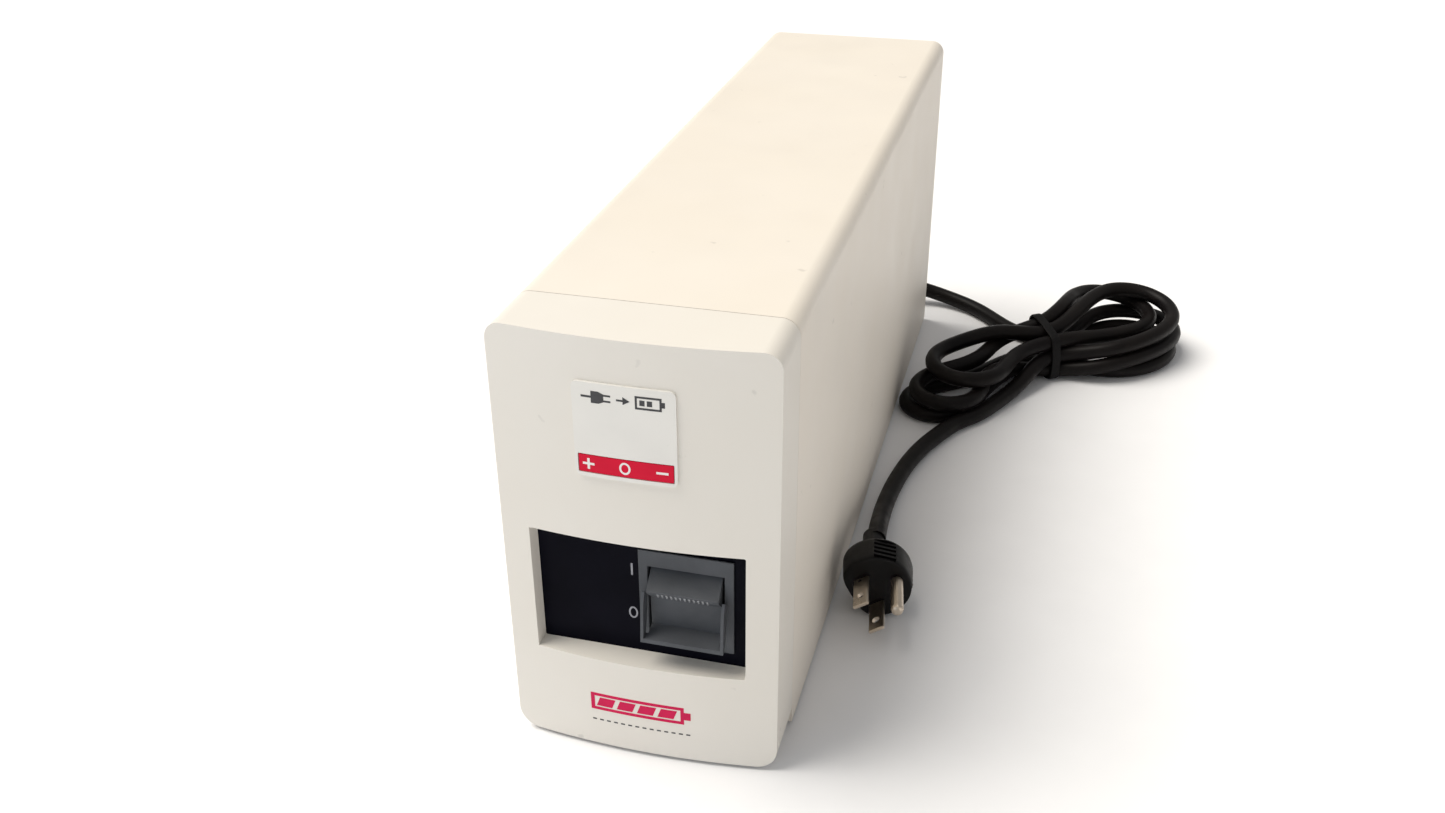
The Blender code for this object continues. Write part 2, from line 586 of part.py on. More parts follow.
def outlets():
    """Grounded outlets, one above the other: each a block through the panel, with a flange outside."""
    bottom = OUTLET_BACK + 2.5
    for number, z in enumerate(OUTLET_Z, 1):
        low = (OUTLET_X - OUTLET_W / 2, OUTLET_BACK, z - OUTLET_H / 2)
        high = (OUTLET_X + OUTLET_W / 2, OUTLET_FACE_Y - 0.5, z + OUTLET_H / 2)
        outlet = box(f"outlet_{number}", low, high, DARK)
        middle = (OUTLET_X, (OUTLET_FACE_Y + PANEL_REAR_Y + PANEL_REAR_T + GAP) / 2, z)
        depth = OUTLET_FACE_Y - PANEL_REAR_Y - PANEL_REAR_T - GAP
        flange = prism(
            f"flange_{number}", rounded(OUTLET_W + 3, OUTLET_H + 3, (2, 2), 3), middle, "Y", depth)
        slots = boxes(f"slots_{number}", [
            ((OUTLET_X - 6.35 - 1.1, bottom, z + 0.5), (OUTLET_X - 6.35 + 1.1, 200, z + 8.7)),
            ((OUTLET_X + 6.35 - 1.1, bottom, z + 1.2), (OUTLET_X + 6.35 + 1.1, 200, z + 8.0)),
        ])
        arch = [(-2.8, -3.0), (2.8, -3.0)]
        for step in range(10):
            angle = math.pi * step / 9
            arch.append((2.8 * math.cos(angle), 1 + 2.8 * math.sin(angle)))
        ground = prism(f"ground_{number}", arch, (OUTLET_X, bottom + 15, z - 7.3), "Y", 30)
        cut(join(outlet, flange), slots, ground)


def breaker():
    """Resettable circuit breaker: a body with a bushing through the panel, a nut and a push button."""
    back, face = PANEL_REAR_Y - GAP, PANEL_REAR_Y + PANEL_REAR_T + GAP
    low, high = (BREAKER_X - 7, 150, BREAKER_Z - 12), (BREAKER_X + 7, back, BREAKER_Z + 12)
    body = box("breaker_body", low, high, DARK)
    place = (BREAKER_X, 180, BREAKER_Z)
    bushing = cylinder("breaker_bushing", (BREAKER_X, 181.5, BREAKER_Z), "Y", BUSHING_R, 10, None, 20)
    bore = cylinder("breaker_bore", (BREAKER_X, 185, BREAKER_Z), "Y", BUTTON_R + GAP, 26, None, 20)
    cut(join(body, bushing), bore)
    nut = cylinder("breaker_nut", (BREAKER_X, face + 0.9, BREAKER_Z), "Y", 7.2, 1.8, STEEL, 6)
    cut(nut, cylinder("nut_hole", place, "Y", BUSHING_R + GAP, 40, None, 20))
    button = cylinder("breaker_button", (BREAKER_X, 180.0, BREAKER_Z), "Y", BUTTON_R, 15.4, DARK, 20)
    add_bevel(button, 0.6, 1)


def feet():
    for x, side in ((-FOOT_X, "left"), (FOOT_X, "right")):
        for y, end in zip(FOOT_Y, ("front", "rear")):
            height = BASE_Z - GAP
            foot = cylinder(f"foot_{end}_{side}", (x, y, height / 2), "Z", FOOT_R, height, RUBBER, 20)
            add_bevel(foot, 0.6, 1)


def cord():
    """Strain relief, lead, tied hank and tail of the mains cord, as plain solids in their real places."""
    boot = smooth_path(BOOT, 3.4)
    taper = [min(1.0, 1.0 - 0.24 * (i - 3) / (len(boot) - 4)) if i > 3 else 1.0 for i in range(len(boot))]
    relief = tube("strain_relief", boot, 6.2, RUBBER, taper, 3)
    flange_y = PANEL_REAR_Y + PANEL_REAR_T + GAP + 1.25
    join(relief, cylinder("relief_flange", (GLAND[0], flange_y, GLAND[1]), "Y", 8.8, 2.5, None, 28))
    tube("cord_lead", smooth_path(LEAD, 2.2 * 2 * CORD_R), CORD_R, RUBBER)
    tube("cord_tail", smooth_path(TAIL, 2.2 * 2 * CORD_R), CORD_R, RUBBER)
    closed = [*HANK[-1:], *HANK, *HANK[:2]]
    outline = [tuple(p[:2]) for p in smooth_path([(x, y, 0) for x, y in closed], 7)]
    start = min(range(1, len(outline) // 2), key=lambda i: math.dist(outline[i], HANK[0]))
    end = max(range(len(outline) // 2, len(outline)), key=lambda i: -math.dist(outline[i], HANK[0]))
    hank = prism("cord_hank", outline[start:end], (0, 0, sum(HANK_Z) / 2), "Z", HANK_Z[1] - HANK_Z[0], RUBBER)
    add_bevel(hank, 2.0, 1)
    half, height = TIE_INNER
    middle_z = HANK_Z[0] - GAP + height / 2
    frame = Matrix.Translation(mm(*TIE_AT, middle_z)) @ Matrix.Rotation(math.radians(TIE_ANGLE + 90), 4, "Z")
    outer = rounded(2 * half + 2 * TIE_T, height + 2 * TIE_T, (3, 3), 3)
    tie = prism("cord_tie", outer, (0, 0, 0), "Y", TIE_BAND, DARK)
    hole = prism("tie_hole", rounded(2 * half, height, (2, 2), 3), (0, 0, 0), "Y", 30)
    for piece in (tie, hole):
        piece.matrix_world = frame
    cut(tie, hole)


def plug_matrix():
    """Local +Z points out of the plug's face, +Y from its blades to its ground pin."""
    yaw, roll = math.radians(PLUG_YAW), math.radians(PLUG_ROLL)
    right, up = Vector((math.cos(yaw), math.sin(yaw), 0)), Vector((0, 0, 1))
    to_ground = math.cos(roll) * right + math.sin(roll) * up
    across = math.sin(roll) * right - math.cos(roll) * up
    turned = Matrix((across, to_ground, across.cross(to_ground))).transposed().to_4x4()
    return Matrix.Translation(mm(*PLUG_AT)) @ turned


def plug_outline(scale, roundness, steps=28):
    """A disc with one flat side; roundness 1 leaves the plain disc."""
    flat = (PLUG_FLAT - PLUG_SHIFT) * (1 - roundness) - PLUG_R * roundness
    points = []
    for i in range(steps):
        angle = 2 * math.pi * i / steps
        x, y = PLUG_R * math.cos(angle), PLUG_R * math.sin(angle)
        points.append((x * scale, max(y, flat) * scale + PLUG_SHIFT))
    return points


def plug():
    """Moulded grounded plug lying on its side: body lofted back to the cord, two blades and a ground pin."""
    place = plug_matrix()
    bm = bmesh.new()
    rings = []
    sections = [
        (0, 0.95, 0), (-1.2, 1, 0), (-14, 1, 0.1), (-20, 0.88, 0.4), (-24, 0.6, 0.9), (-26, 0.46, 1),
        (-34, 0.36, 1),
    ]
    for z, scale, roundness in sections:
        rings.append([bm.verts.new(mm(x, y, z)) for x, y in plug_outline(scale, roundness)])
    for near, far in zip(rings, rings[1:]):
        for i, vert in enumerate(near):
            follow = (i + 1) % len(near)
            bm.faces.new((vert, near[follow], far[follow], far[i]))
    bm.faces.new(rings[0])
    bm.faces.new(list(reversed(rings[-1])))
    body = from_bmesh("plug_body", bm, RUBBER)
    body.matrix_world = place
    for x, tag in ((-BLADE_PITCH / 2, "line"), (BLADE_PITCH / 2, "neutral")):
        blade = box(f"plug_blade_{tag}", (x - 0.75, -3.2, GAP), (x + 0.75, 3.2, 17.5), BRASS)
        add_bevel(blade, 0.4, 1)
        hole = cylinder(f"blade_hole_{tag}", (x, 0, 11.7), "X", 1.6, 12, None, 16)
        for piece in (blade, hole):
            piece.matrix_world = place
        cut(blade, hole)
    pin = cylinder("plug_ground_pin", (0, GROUND_PITCH, GAP + 10), "Z", 2.4, 20, BRASS, 20)
    add_bevel(pin, 1.3, 2)
    pin.matrix_world = place


clear_scene()
PARTS = collection("uninterruptible_power_supply")
CUTTERS = collection("cutters")
outer_cover()
front_bezel()
control_panel()
switch_frame()
power_rocker()
switch_parts()
label()
base_tray()
battery_group()
transformer()
electronics()
rear_panel()
outlets()
breaker()
feet()
cord()
plug()
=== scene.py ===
"""Visual model of a slim uninterruptible power supply and its tied mains cord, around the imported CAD."""

import math

import bmesh
import bpy
import numpy as np
from mathutils import Matrix, Vector


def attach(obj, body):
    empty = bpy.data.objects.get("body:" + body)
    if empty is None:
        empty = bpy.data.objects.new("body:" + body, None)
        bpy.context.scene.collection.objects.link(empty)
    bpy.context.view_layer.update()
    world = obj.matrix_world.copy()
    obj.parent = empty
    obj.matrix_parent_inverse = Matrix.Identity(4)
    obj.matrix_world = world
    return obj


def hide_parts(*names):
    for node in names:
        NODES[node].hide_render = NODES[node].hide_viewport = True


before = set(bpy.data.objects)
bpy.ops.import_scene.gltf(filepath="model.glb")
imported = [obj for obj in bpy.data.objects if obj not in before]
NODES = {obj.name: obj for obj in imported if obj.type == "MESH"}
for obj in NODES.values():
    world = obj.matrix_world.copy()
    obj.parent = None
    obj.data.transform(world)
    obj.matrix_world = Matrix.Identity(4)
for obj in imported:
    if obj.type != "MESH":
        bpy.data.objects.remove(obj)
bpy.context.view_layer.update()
SCENE = bpy.context.scene

# Driving dimensions in millimetres, the same as the CAD's
CASE_W, CASE_H = 92.0, 157.0
WALL, CASE_FLOOR = 2.5, 1.5
TOP_RADIUS, FOOT_RADIUS = 6.0, 7.0
REAR_Y, FRONT_Y, FRONT_SAG, SEAM_Y = 189.0, -188.2, 3.8, -161.0
HALF_IN, TOP_IN, REAR_LIP = CASE_W / 2 - WALL, CASE_H - WALL, 3.0
WINDOW_X, WINDOW_Z0, WINDOW_Z1 = 35.5, 39.3, 85.9
SLEEVE_WALL, PANEL_Y = 1.8, -180.4
SWITCH_X, FRAME_W, FRAME_Z0, FRAME_Z1, FRAME_T = 14.6, 31.8, 44.4, 80.2, 0.7
MOUTH_W, MOUTH_Z0, MOUTH_Z1, TUNNEL_WALL = 25.6, 45.9, 74.2, 0.9
PIVOT_Y, PIVOT_Z, PIN_R = -174.0, 60.0, 1.5
ROCKER_W, CHEEK_W = 24.0, 27.8
LABEL_X, LABEL_Z, LABEL_SIZE, LABEL_T, LABEL_BACK = -1.3, 126.3, 32.6, 0.5, 0.3
BAND_Z, BAND_W, BAND_H = 114.6, 30.2, 6.0
ARC_R = (CASE_W**2 / 4 + FRONT_SAG**2) / (2 * FRONT_SAG)
CORD_D = 7.8
TIE_AT, TIE_U = np.array([113.5, 141.0]), np.array([0.848, 0.530])
TIE_N = np.array([-TIE_U[1], TIE_U[0]])
PLUG_AT = Vector((61.5, -93.0, 12.9))
PLUG_YAW, PLUG_ROLL = 9.0, 30.0
PLUG_R, PLUG_FLAT, PLUG_SHIFT = 14.0, -8.0, 3.0
THUMB_TURNS, THUMB_OUT, THUMB_AT = (138, 42), 15.6, -7.0
PLUG_PINS = ("plug_blade_line", "plug_blade_neutral", "plug_ground_pin")
REAR_SCREW_X, REAR_SCREW_Y, REAR_SCREW_Z = 37, 182.9, {"low": 13, "high": 146}
DOOR_SCREW_X, DOOR_SCREW_Y, DOOR_SCREW_Z = 25, 17.0, 1.85

# Camera in millimetres and degrees, and the light
CAMERA_AT, CAMERA_AIM = Vector((118.999, -520.347, 327.3)), Vector((-11.98, -37.415, 54.659))
CAMERA_ROLL, CAMERA_LENS, CAMERA_SENSOR = 0.32, 33.86, 36.0
SKY_COLOUR, SKY_STRENGTH = (1.0, 0.985, 0.96, 1), 0.38
KEY_COLOUR, KEY_STRENGTH, KEY_ANGLE = (1.0, 0.955, 0.875), 3.2, 42
KEY_DIRECTION = Vector((0.56, 0.06, -1.0))
FILL_COLOUR, FILL_POWER, FILL_SIZE = (0.45, 0.72, 1.0), 1.6, 0.9
FILL_AT, FILL_AIM = (-0.5, -1.5, 0.45), (0, -0.1, 0.08)
FLOOR_COLOUR, FLOOR_HALF = (0.92, 0.925, 0.95), 6


def mm(*values):
    """Millimetres to metres, as a number or as a vector."""
    return float(values[0]) / 1000 if len(values) == 1 else Vector(values) / 1000


# ---------------------------------------------------------------- camera and light
def add_camera():
    place, aim = CAMERA_AT / 1000, CAMERA_AIM / 1000
    ahead = (aim - place).normalized()
    right = ahead.cross(Vector((0, 0, 1))).normalized()
    up = right.cross(ahead)
    roll = math.radians(CAMERA_ROLL)
    right, up = math.cos(roll) * right - math.sin(roll) * up, math.cos(roll) * up + math.sin(roll) * right
    camera = bpy.data.objects.new("camera", bpy.data.cameras.new("camera"))
    camera.matrix_world = Matrix.Translation(place) @ Matrix((right, up, -ahead)).transposed().to_4x4()
    camera.data.sensor_width, camera.data.lens = CAMERA_SENSOR, CAMERA_LENS
    camera.data.clip_start, camera.data.clip_end = 0.02, 20
    SCENE.collection.objects.link(camera)
    SCENE.camera = camera


def area_light(name, place, aim, size, power, colour):
    light = bpy.data.lights.new(name, "AREA")
    light.shape, light.size, light.energy, light.color = "DISK", size, power, colour
    obj = bpy.data.objects.new(name, light)
    obj.location = place
    obj.rotation_euler = (Vector(aim) - Vector(place)).to_track_quat("-Z", "Y").to_euler()
    SCENE.collection.objects.link(obj)


def studio():
    SCENE.view_settings.view_transform = "Standard"
    world = bpy.data.worlds.new("studio")
    world.use_nodes = True
    world.node_tree.nodes["Background"].inputs["Color"].default_value = SKY_COLOUR
    world.node_tree.nodes["Background"].inputs["Strength"].default_value = SKY_STRENGTH
    SCENE.world = world
    sun = bpy.data.lights.new("key", "SUN")
    sun.energy, sun.angle, sun.color = KEY_STRENGTH, math.radians(KEY_ANGLE), KEY_COLOUR
    key = bpy.data.objects.new("key", sun)
    key.rotation_euler = KEY_DIRECTION.to_track_quat("-Z", "Y").to_euler()
    SCENE.collection.objects.link(key)
    area_light("front_fill", FILL_AT, FILL_AIM, FILL_SIZE, FILL_POWER, FILL_COLOUR)
    bm = bmesh.new()
    bmesh.ops.create_grid(bm, x_segments=8, y_segments=8, size=FLOOR_HALF)
    mesh = bpy.data.meshes.new("studio_floor")
    bm.to_mesh(mesh)
    bm.free()
    floor = bpy.data.objects.new("studio_floor", mesh)
    SCENE.collection.objects.link(floor)
    mesh.materials.append(finish("studio_floor", FLOOR_COLOUR, 0.8, grain=(300, 0.02), vary=0.01))


# ---------------------------------------------------------------- materials
MADE = {}
NOISE_LOW, NOISE_HIGH = 0.3, 0.7  # the part of a noise's range that is stretched over a mix
SPECK_FROM, SPECK_FULL, SPECK_DARK, SPECK_FINER = 0.735, 0.78, 0.55, 9
GRAIN_DEPTH, GRAIN_STRENGTH = 0.00004, 4
MIX_A, MIX_B, MIX_RESULT = 6, 7, 2  # the colour sockets of a mix node


def finish(name, colour, rough, metal=0.0, grain=(1500, 0.1), vary=0.06, mottle=35, tint=None, specks=0.0,
           rough_vary=0.06, streak=None, gloss=0.5):
    """A procedural finish: base colour with slow mottling, optional specks, uneven gloss and a fine grain."""
    if name in MADE:
        return MADE[name]
    made = bpy.data.materials.new(name)
    made.use_nodes = True
    tree = made.node_tree
    shader = tree.nodes["Principled BSDF"]
    shader.inputs["Metallic"].default_value = metal
    shader.inputs["Specular IOR Level"].default_value = gloss
    made.diffuse_color = (*colour, 1)

    def node(kind, **settings):
        new = tree.nodes.new(kind)
        for key, value in settings.items():
            if key in new.inputs:
                new.inputs[key].default_value = value
            else:
                setattr(new, key, value)
        return new

    place = node("ShaderNodeTexCoord").outputs["Object"]
    if streak:
        stretch = node("ShaderNodeMapping")
        stretch.inputs["Scale"].default_value = streak
        tree.links.new(place, stretch.inputs["Vector"])
        place = stretch.outputs["Vector"]

    def noise(scale, detail):
        new = node("ShaderNodeTexNoise")
        new.inputs["Scale"].default_value = scale
        new.inputs["Detail"].default_value = detail
        tree.links.new(place, new.inputs["Vector"])
        return new.outputs["Fac"]

    def mapped(value, low, high, to_low, to_high):
        new = node("ShaderNodeMapRange")
        for key, number in zip(("From Min", "From Max", "To Min", "To Max"), (low, high, to_low, to_high)):
            new.inputs[key].default_value = number
        tree.links.new(value, new.inputs["Value"])
        return new.outputs["Result"]

    def mixed(value, a, b):
        new = node("ShaderNodeMix", data_type="RGBA")
        tree.links.new(value, new.inputs["Factor"])
        for side, key in ((a, MIX_A), (b, MIX_B)):
            if isinstance(side, tuple):
                new.inputs[key].default_value = (*side, 1)
            else:
                tree.links.new(side, new.inputs[key])
        return new.outputs[MIX_RESULT]

    other = tint or tuple(c * (1 - 2 * vary) for c in colour)
    shade = mixed(mapped(noise(mottle, 4), NOISE_LOW, NOISE_HIGH, 0, 1), colour, other)
    if specks:
        dark = tuple(c * SPECK_DARK for c in colour)
        speck = mapped(noise(mottle * SPECK_FINER, 2), SPECK_FROM, SPECK_FULL, 0, specks)
        shade = mixed(speck, shade, dark)
    tree.links.new(shade, shader.inputs["Base Color"])
    uneven = mapped(noise(mottle * 3, 3), NOISE_LOW, NOISE_HIGH, rough - rough_vary, rough + rough_vary)
    tree.links.new(uneven, shader.inputs["Roughness"])
    bump = node("ShaderNodeBump")
    bump.inputs["Strength"].default_value = min(1.0, grain[1] * GRAIN_STRENGTH)
    bump.inputs["Distance"].default_value = GRAIN_DEPTH
    tree.links.new(noise(grain[0], 2), bump.inputs["Height"])
    tree.links.new(bump.outputs["Normal"], shader.inputs["Normal"])
    MADE[name] = made
    return made


# Painted light: the bezel is the cover's cream made cooler and less yellow, painted in for the cooler light
# that falls on the front.
def bezel_cream_painted_cool():
    return finish("bezel_plastic_painted_cool", (0.80, 0.765, 0.71), 0.5, grain=(1700, 0.12), mottle=14,
                  tint=(0.775, 0.735, 0.67), specks=0.35)


def cream():
    return finish("cream_plastic", (0.825, 0.77, 0.695), 0.5, grain=(1700, 0.12), mottle=14,
                  tint=(0.805, 0.745, 0.66), specks=0.35)


def black_gloss():
    return finish("smoked_black", (0.0045, 0.0045, 0.009), 0.34, grain=(500, 0.02), vary=0.15, mottle=60,
                  gloss=0.03)


def switch_grey():
    return finish("switch_grey", (0.088, 0.094, 0.106), 0.5, grain=(1800, 0.12), vary=0.1, mottle=90,
                  gloss=0.25)


def cord_black():
    return finish("cord_black", (0.0045, 0.0036, 0.004), 0.42, grain=(900, 0.12), vary=0.25, mottle=60,
                  tint=(0.0085, 0.0068, 0.0062), gloss=0.12)


def plug_black():
    return finish("plug_black", (0.0052, 0.0046, 0.005), 0.42, grain=(1400, 0.12), vary=0.2, mottle=80,
                  gloss=0.2)


def steel():
    return finish("zinc_steel", (0.60, 0.61, 0.62), 0.36, metal=1.0, grain=(600, 0.04), vary=0.1, mottle=120)


def painted_steel():
    return finish("painted_rear", (0.66, 0.64, 0.585), 0.48, grain=(900, 0.1), vary=0.03, mottle=30)


def nickel():
    return finish("plug_nickel", (0.66, 0.57, 0.47), 0.3, metal=1.0, grain=(900, 0.015), vary=0.05, mottle=60,
                  rough_vary=0.03)


def badge_white():
    return finish("badge_white", (0.815, 0.795, 0.755), 0.34, grain=(900, 0.03), vary=0.02, mottle=60,
                  specks=0.25)


def print_red():
    return finish("print_red", (0.70, 0.003, 0.036), 0.4, grain=(900, 0.03), vary=0.04, mottle=120,
                  gloss=0.15)


def print_crimson():
    return finish("print_crimson", (0.66, 0.008, 0.085), 0.4, grain=(900, 0.03), vary=0.05, mottle=150,
                  gloss=0.15)


def print_white():
    return finish("print_white", (0.86, 0.84, 0.82), 0.45, grain=(900, 0.02), vary=0.03, mottle=200)


def print_grey():
    return finish("print_grey", (0.045, 0.045, 0.05), 0.5, grain=(900, 0.02), vary=0.2, mottle=300)


def print_mark():
    return finish("print_mark", (0.36, 0.36, 0.40), 0.5, grain=(900, 0.02), vary=0.1, mottle=300)


# ---------------------------------------------------------------- mesh helpers
def link(obj):
    SCENE.collection.objects.link(obj)
    return obj


def from_bmesh(name, bm):
    bmesh.ops.recalc_face_normals(bm, faces=bm.faces)
    mesh = bpy.data.meshes.new(name)
    bm.to_mesh(mesh)
    bm.free()
    return link(bpy.data.objects.new(name, mesh))


def turn_to(axis):
    """Turn that takes a thing made along Z to the axis."""
    columns = {
        "X": ((0, 1, 0), (0, 0, 1), (1, 0, 0)),
        "Y": ((-1, 0, 0), (0, 0, 1), (0, 1, 0)),
        "Z": ((1, 0, 0), (0, 1, 0), (0, 0, 1)),
    }[axis]
    return Matrix(columns).transposed().to_4x4()


def box(name, low, high):
    bm = bmesh.new()
    size, centre = Vector(high) - Vector(low), (Vector(high) + Vector(low)) / 2
    matrix = Matrix.Translation(centre / 1000) @ Matrix.Diagonal((*size / 1000, 1))
    bmesh.ops.create_cube(bm, size=1, matrix=matrix)
    return from_bmesh(name, bm)


def cylinder(name, centre, axis, radius, length, sides=48):
    bm = bmesh.new()
    bmesh.ops.create_cone(bm, cap_ends=True, segments=sides, radius1=mm(radius), radius2=mm(radius),
                          depth=mm(length), matrix=Matrix.Translation(mm(*centre)) @ turn_to(axis))
    return from_bmesh(name, bm)


def filled(loops, thickness):
    """Mesh of flat closed outlines in XY, holes left open, with a thickness about z = 0, in metres."""
    curve = bpy.data.curves.new("outline", "CURVE")
    curve.dimensions, curve.fill_mode, curve.extrude = "2D", "BOTH", mm(thickness / 2)
    for loop in loops:
        spline = curve.splines.new("POLY")
        spline.points.add(len(loop) - 1)
        for point, (u, v) in zip(spline.points, loop):
            point.co = (mm(u), mm(v), 0, 1)
        spline.use_cyclic_u = True
    guide = link(bpy.data.objects.new("guide", curve))
    mesh = bpy.data.meshes.new_from_object(guide.evaluated_get(bpy.context.evaluated_depsgraph_get()))
    bpy.data.objects.remove(guide)
    bm = bmesh.new()
    bm.from_mesh(mesh)
    bpy.data.meshes.remove(mesh)
    bmesh.ops.remove_doubles(bm, verts=bm.verts, dist=1e-6)
    return bm


def prism(name, outline, centre, axis, thickness):
    """A flat outline given thickness along an axis. It runs in XY for Z, in YZ for X, and in XZ for Y."""
    flip = -1 if axis == "Y" else 1
    bm = filled([[(flip * u, v) for u, v in outline]], thickness)
    bmesh.ops.transform(bm, matrix=Matrix.Translation(mm(*centre)) @ turn_to(axis), verts=bm.verts)
    return from_bmesh(name, bm)


def rounded(width, height, radii, steps):
    """Outline of a rectangle about the origin, with its own corner radius at the foot and at the top."""
    low, high = radii
    points = []
    for sx, sy, radius, start in ((1, -1, low, -90), (1, 1, high, 0), (-1, 1, high, 90), (-1, -1, low, 180)):
        cx, cy = sx * (width / 2 - radius), sy * (height / 2 - radius)
        for i in range(steps + 1):
            angle = math.radians(start + 90 * i / steps)
            points.append((cx + radius * math.cos(angle), cy + radius * math.sin(angle)))
    return points


def boolean(obj, other, operation):
    modifier = obj.modifiers.new(other.name, "BOOLEAN")
    modifier.operation, modifier.object, modifier.solver = operation, other, "EXACT"
    return obj


def bevel(obj, width, steps=3, angle=40):
    modifier = obj.modifiers.new("edges", "BEVEL")
    modifier.width, modifier.segments = mm(width), steps
    modifier.limit_method, modifier.angle_limit = "ANGLE", math.radians(angle)
    return obj


def settle(obj, weighted=True, sharp=38):
    """Applies the modifiers, gives the mesh smooth shading with sharp edges kept, and even face normals."""
    graph = bpy.context.evaluated_depsgraph_get()
    mesh = bpy.data.meshes.new_from_object(obj.evaluated_get(graph))
    used = [m.object for m in obj.modifiers if m.type == "BOOLEAN"]
    obj.modifiers.clear()
    obj.data = mesh
    mesh.shade_smooth()
    mesh.set_sharp_from_angle(angle=math.radians(sharp))
    for other in used:
        if other and other.name in bpy.data.objects:
            bpy.data.objects.remove(other)
    if weighted:
        modifier = obj.modifiers.new("normals", "WEIGHTED_NORMAL")
        modifier.keep_sharp = True
        modifier.weight = 80
    return obj


def show(obj, material, body="case", replaces=()):
    obj.data.materials.clear()
    obj.data.materials.append(material)
    if replaces:
        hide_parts(*replaces)
    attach(obj, body)
    return obj


def frames_along(path):
    """A right and an up direction at each point of a path, turning no more than the path does."""
    last = len(path) - 1
    ahead = [(path[min(i + 1, last)] - path[max(i - 1, 0)]).normalized() for i in range(len(path))]
    side = ahead[0].cross(Vector((0, 0, 1)))
    side = (side if side.length > 1e-3 else Vector((1, 0, 0))).normalized()
    out = []
    for direction in ahead:
        side = (side - direction * side.dot(direction)).normalized()
        out.append((side, direction.cross(side)))
    return out


def bridge(bm, near, far):
    """Faces between two rings, which are triangles where a ring is one point repeated."""
    for i in range(len(near)):
        j = (i + 1) % len(near)
        bm.faces.new(list(dict.fromkeys((near[i], near[j], far[j], far[i]))))


def tube(bm, rings):
    """A closed solid through a row of rings."""
    for near, far in zip(rings, rings[1:]):
        bridge(bm, near, far)
    bm.faces.new(rings[0])
    bm.faces.new(list(reversed(rings[-1])))


def block(bm, front, back):
    """A closed solid between two faces with as many corners."""
    bm.faces.new(front)
    bm.faces.new(list(reversed(back)))
    for i in range(len(front)):
        j = (i + 1) % len(front)
        bm.faces.new((front[i], back[i], back[j], front[j]))


def sweep(name, path, radii, sides):
    """A closed round solid along a path in millimetres, with its own radius at each point."""
    path = [mm(*p) for p in path]
    bm = bmesh.new()
    rings = []
    turn = [2 * math.pi * i / sides for i in range(sides)]
    for place, radius, (side, up) in zip(path, radii, frames_along(path)):
        spokes = [math.cos(a) * side + math.sin(a) * up for a in turn]
        rings.append([bm.verts.new(place + mm(radius) * spoke) for spoke in spokes])
    tube(bm, rings)
    return from_bmesh(name, bm)


def arc_y(x, proud=0.0):
    """The bowed front's y at x, for a surface that stands proud of it."""
    radius = ARC_R + proud
    return FRONT_Y - proud + radius - math.sqrt(radius**2 - x**2)


def front_arc(offset, half, steps=56):
    """The bowed front's line in plan, at an offset behind the face."""
    across = [-half + 2 * half * i / steps for i in range(steps + 1)]
    return [(x, arc_y(x, -offset)) for x in across]


# ---------------------------------------------------------------- mains cord
# The cord's path from its entry to the hank, in millimetres
LEAD = [
    (8, 183, 16), (8.7, 190, 15.9), (11.4, 196.6, 15.5), (16.2, 201.8, 14.8), (21.6, 206.4, 13.6),
    (28.5, 209.6, 11.9), (37, 211.2, 9.8), (46, 211.7, 7.6), (55, 210.3, 5.9), (64, 206.9, 4.8),
    (73, 201.5, 4.2), (81, 194.6, 4.0), (88, 186.6, 3.9), (95.5, 178, 3.9), (105, 171.5, 3.9),
    (116, 170, 3.9), (127, 174, 3.9), (137, 184, 3.9),
]
# The hank's turns on the right, from the outermost, each from the tie round to the tie
RIGHT = [
    [(147, 196, 3.9), (159, 201, 3.9), (171, 195, 3.9), (178, 181, 3.9), (177, 164, 3.9), (166, 149, 3.9),
     (149, 138.5, 3.9), (131, 140, 3.9)],
    [(120, 156, 5), (128, 172, 8), (136, 189, 11.7), (148, 202, 11.7), (163, 206, 11.7), (175, 198, 11.7),
     (180.5, 182, 11.7), (177, 163, 11.7), (164, 147, 11.7), (148, 136, 9.7), (133, 131, 6)],
    [(117, 152, 27), (120, 166, 27), (126, 181, 25.5), (134, 196, 23.5), (145, 204, 22), (156, 203, 19.5),
     (165, 194, 18.5), (168, 181, 18), (163, 169, 18), (153, 159, 18), (141, 150, 18), (130, 142, 18.5)],
    [(122, 153, 26), (128.5, 165, 28), (136, 177, 27.5), (145, 190, 28.5), (156, 198, 27.5), (167, 198, 26),
     (175, 189, 24.5), (177.5, 176, 23), (174, 163, 21.5), (165, 151, 20), (152, 140, 18.5), (137, 131, 15)],
]
